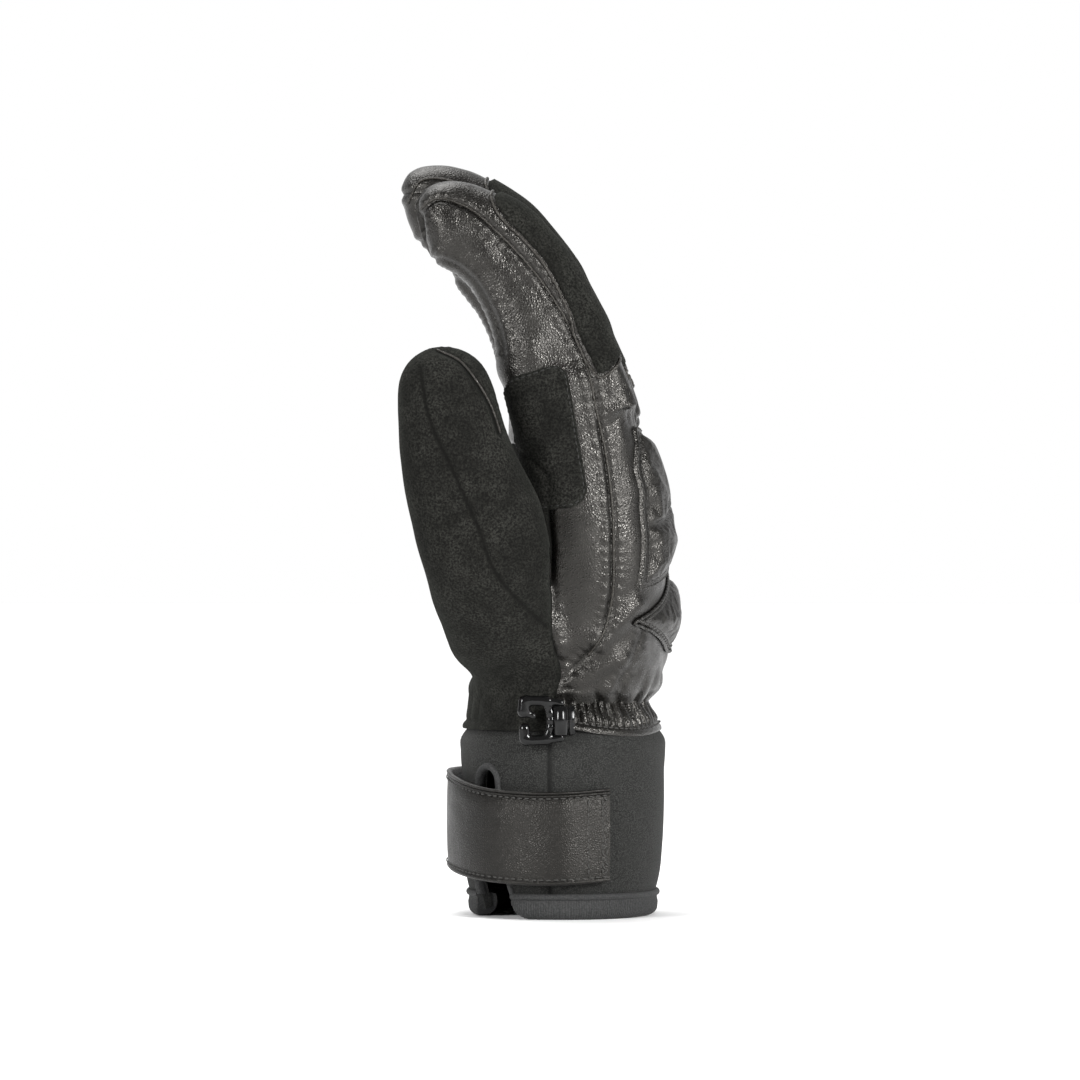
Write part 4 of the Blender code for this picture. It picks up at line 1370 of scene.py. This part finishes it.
# ---------------------------------------------------------------- clip
def capsule(points, a, b, radius):
    """Distance from a round-ended rod."""
    line = np.subtract(b, a)
    share = np.clip((points - a) @ line / (line @ line), 0, 1)
    return np.linalg.norm(points - a - share[..., None] * line, axis=-1) - radius


def clip_hook():
    """The moulded hook: a bar for the webbing, a slotted body and a sprung gate."""
    step = 0.3
    low, high = np.array([-16.5, -3.0, -10.0]), np.array([3.0, 3.0, 10.0])
    axes = [np.arange(a, b, step) for a, b in zip(low, high)]
    grid = np.stack(np.meshgrid(*axes, indexing="ij"), -1) * [1, 1.25, 1]  # its rods are a little flat
    rods = [((0, 0, -5.6), (0, 0, 5.6), 1.1)]
    for end in (-1, 1):
        rods += [((0, 0, 6.2 * end), (-5.0, 0, 6.8 * end), 1.35)]
        rods += [((-5.0, 0, 6.8 * end), (-11.5, 0, 7.0 * end), 1.8)]
    gate = [(-6.0 + 2.6 * math.cos(t), 0.0, 6.6 * math.sin(t)) for t in np.radians(np.arange(-90, 91, 22.5))]
    rods += [(a, b, 1.3) for a, b in zip(gate, gate[1:])]
    rods += [((-12.4, 0, -6.6), (-12.6, 0, -2.9), 2.0), ((-12.9, 0, 3.0), (-12.6, 0, 6.6), 2.2)]
    rods += [((-12.6, 0, 3.2), (-9.6, 0, 1.6), 1.2)]
    field = capsule(grid, *rods[0])
    for rod in rods[1:]:
        field = smooth_min(field, capsule(grid, *rod), 0.9)
    made, quads = skin_of(field, low + CLIP_PIVOT, step)
    triangles = halved(quads)
    hook = add_piece("clip_hook_moulding", relax(made, triangles, 2), triangles, PLASTIC)
    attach(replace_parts(hook, "clip_hook"), "clip")


def clip_webbing():
    """A folded strip from the wrist band round the clip's bar."""
    px, py, pz = CLIP_PIVOT
    near, half = 2.3, 4.9
    turn = np.radians(np.arange(180, 361, 12))
    path = [(px - near, py + 4.6)] + [(px + near * np.cos(t), py + near * np.sin(t)) for t in turn]
    path += [(px + near, py + 2.5), (px + near + 0.9, py + 4.3), (px + near + 2.6, py + 5.2)]
    line = smooth_line(path, 60)
    path = np.column_stack([line, np.full(len(line), pz)])
    face = [(0.35, -half), (0.42, 0), (0.35, half)]
    section = [(-0.35, -half), (0, -half - 0.25), *face, (0, half + 0.25), (-0.35, half), (-0.42, 0)]
    strip = sweep("clip_webbing_strip", path, level_across(path), section, PLASTIC)
    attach(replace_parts(strip, "clip_webbing"), "hand")


clip_hook()
clip_webbing()


# ---------------------------------------------------------------- inside
def inner_lining():
    """The fleece that shows in the cuff's opening."""
    z = np.linspace(60, 178, 30)[:, None]
    turn = np.linspace(0, 360, 73)[None, :-1]
    palm, back, width, _ = read_hand(z)
    narrow = 6.5 + 10 * ease(z, 150, 178)
    made = ring_point(turn, z, (back - palm) / 2 - narrow, width - narrow, (palm + back) / 2)
    faces = grid_faces(len(z), turn.size, wrap_columns=True)
    lining = add_piece("hand_fleece", made.reshape(-1, 3), faces, LINING)
    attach(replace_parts(lining, "hand_lining"), "hand")


inner_lining()


# ---------------------------------------------------------------- camera, light and floor
def add_light(name, size, power, place, spread=180):
    """A soft box turned towards the middle of the glove."""
    light = bpy.data.lights.new(name, "AREA")
    light.spread = math.radians(spread)
    light.shape = "RECTANGLE"
    light.size, light.size_y = size
    light.energy = power
    obj = add_object(name, light)
    obj.location = place
    obj.rotation_euler = (Vector((0, 0, 0.13)) - Vector(place)).to_track_quat("-Z", "Y").to_euler()


def add_sun(strength, towards, softness):
    """An even light from above, which also keeps the wide floor pale."""
    light = bpy.data.lights.new("sun", "SUN")
    light.energy = strength
    light.angle = math.radians(softness)
    add_object("sun", light).rotation_euler = Vector(towards).to_track_quat("Z", "Y").to_euler()


def add_world():
    """A white backdrop that lights the glove less than it shows, and more from behind."""
    world_shader = bpy.data.worlds.new("studio")
    world_shader.use_nodes = True
    nodes = Nodes(world_shader.node_tree)
    direction = nodes.node("TexCoord", {})["Generated"]
    lit = nodes.ranged(nodes.node("SeparateXYZ", {"Vector": direction})["Y"], 0.20, 0.97, 0.24, 1.0)
    seen = nodes.node("LightPath", {})["Is Camera Ray"]
    nodes.put(nodes.tree.nodes["Background"].inputs["Color"], nodes.maths("MAXIMUM", lit, seen))
    bpy.context.scene.world = world_shader


def add_floor():
    mesh = bpy.data.meshes.new("floor")
    reach = 12.0
    corners = [(-reach, -reach, 0), (reach, -reach, 0), (reach, reach, 0), (-reach, reach, 0)]
    mesh.from_pydata(corners, [], [(0, 1, 2, 3)])
    mesh.materials.append(Look("pale_floor", (0.93, 0.93, 0.93), 0.8, Specular_IOR_Level=0.1).material)
    add_object("floor", mesh)


def studio():
    camera = bpy.data.cameras.new("camera")
    camera.lens = 235
    camera.sensor_width = 36
    camera.clip_end = 100
    obj = add_object("camera", camera)
    obj.location = (0, -2.5, 0.133)
    obj.rotation_euler = (math.radians(90), 0, 0)
    bpy.context.scene.camera = obj
    bpy.context.scene.view_settings.view_transform = "Standard"
    add_light("key", (0.4, 0.8), 5.5, (1.15, -1.30, 0.65), 60)
    add_light("side", (0.6, 1.0), 4, (1.5, -0.7, 0.35))
    add_light("fill", (0.4, 0.8), 3.4, (-1.15, -1.3, 0.60), 60)
    add_sun(3.0, (-0.25, 0.35, 1.0), 50)
    add_world()
    add_floor()


studio()
bpy.context.view_layer.update()
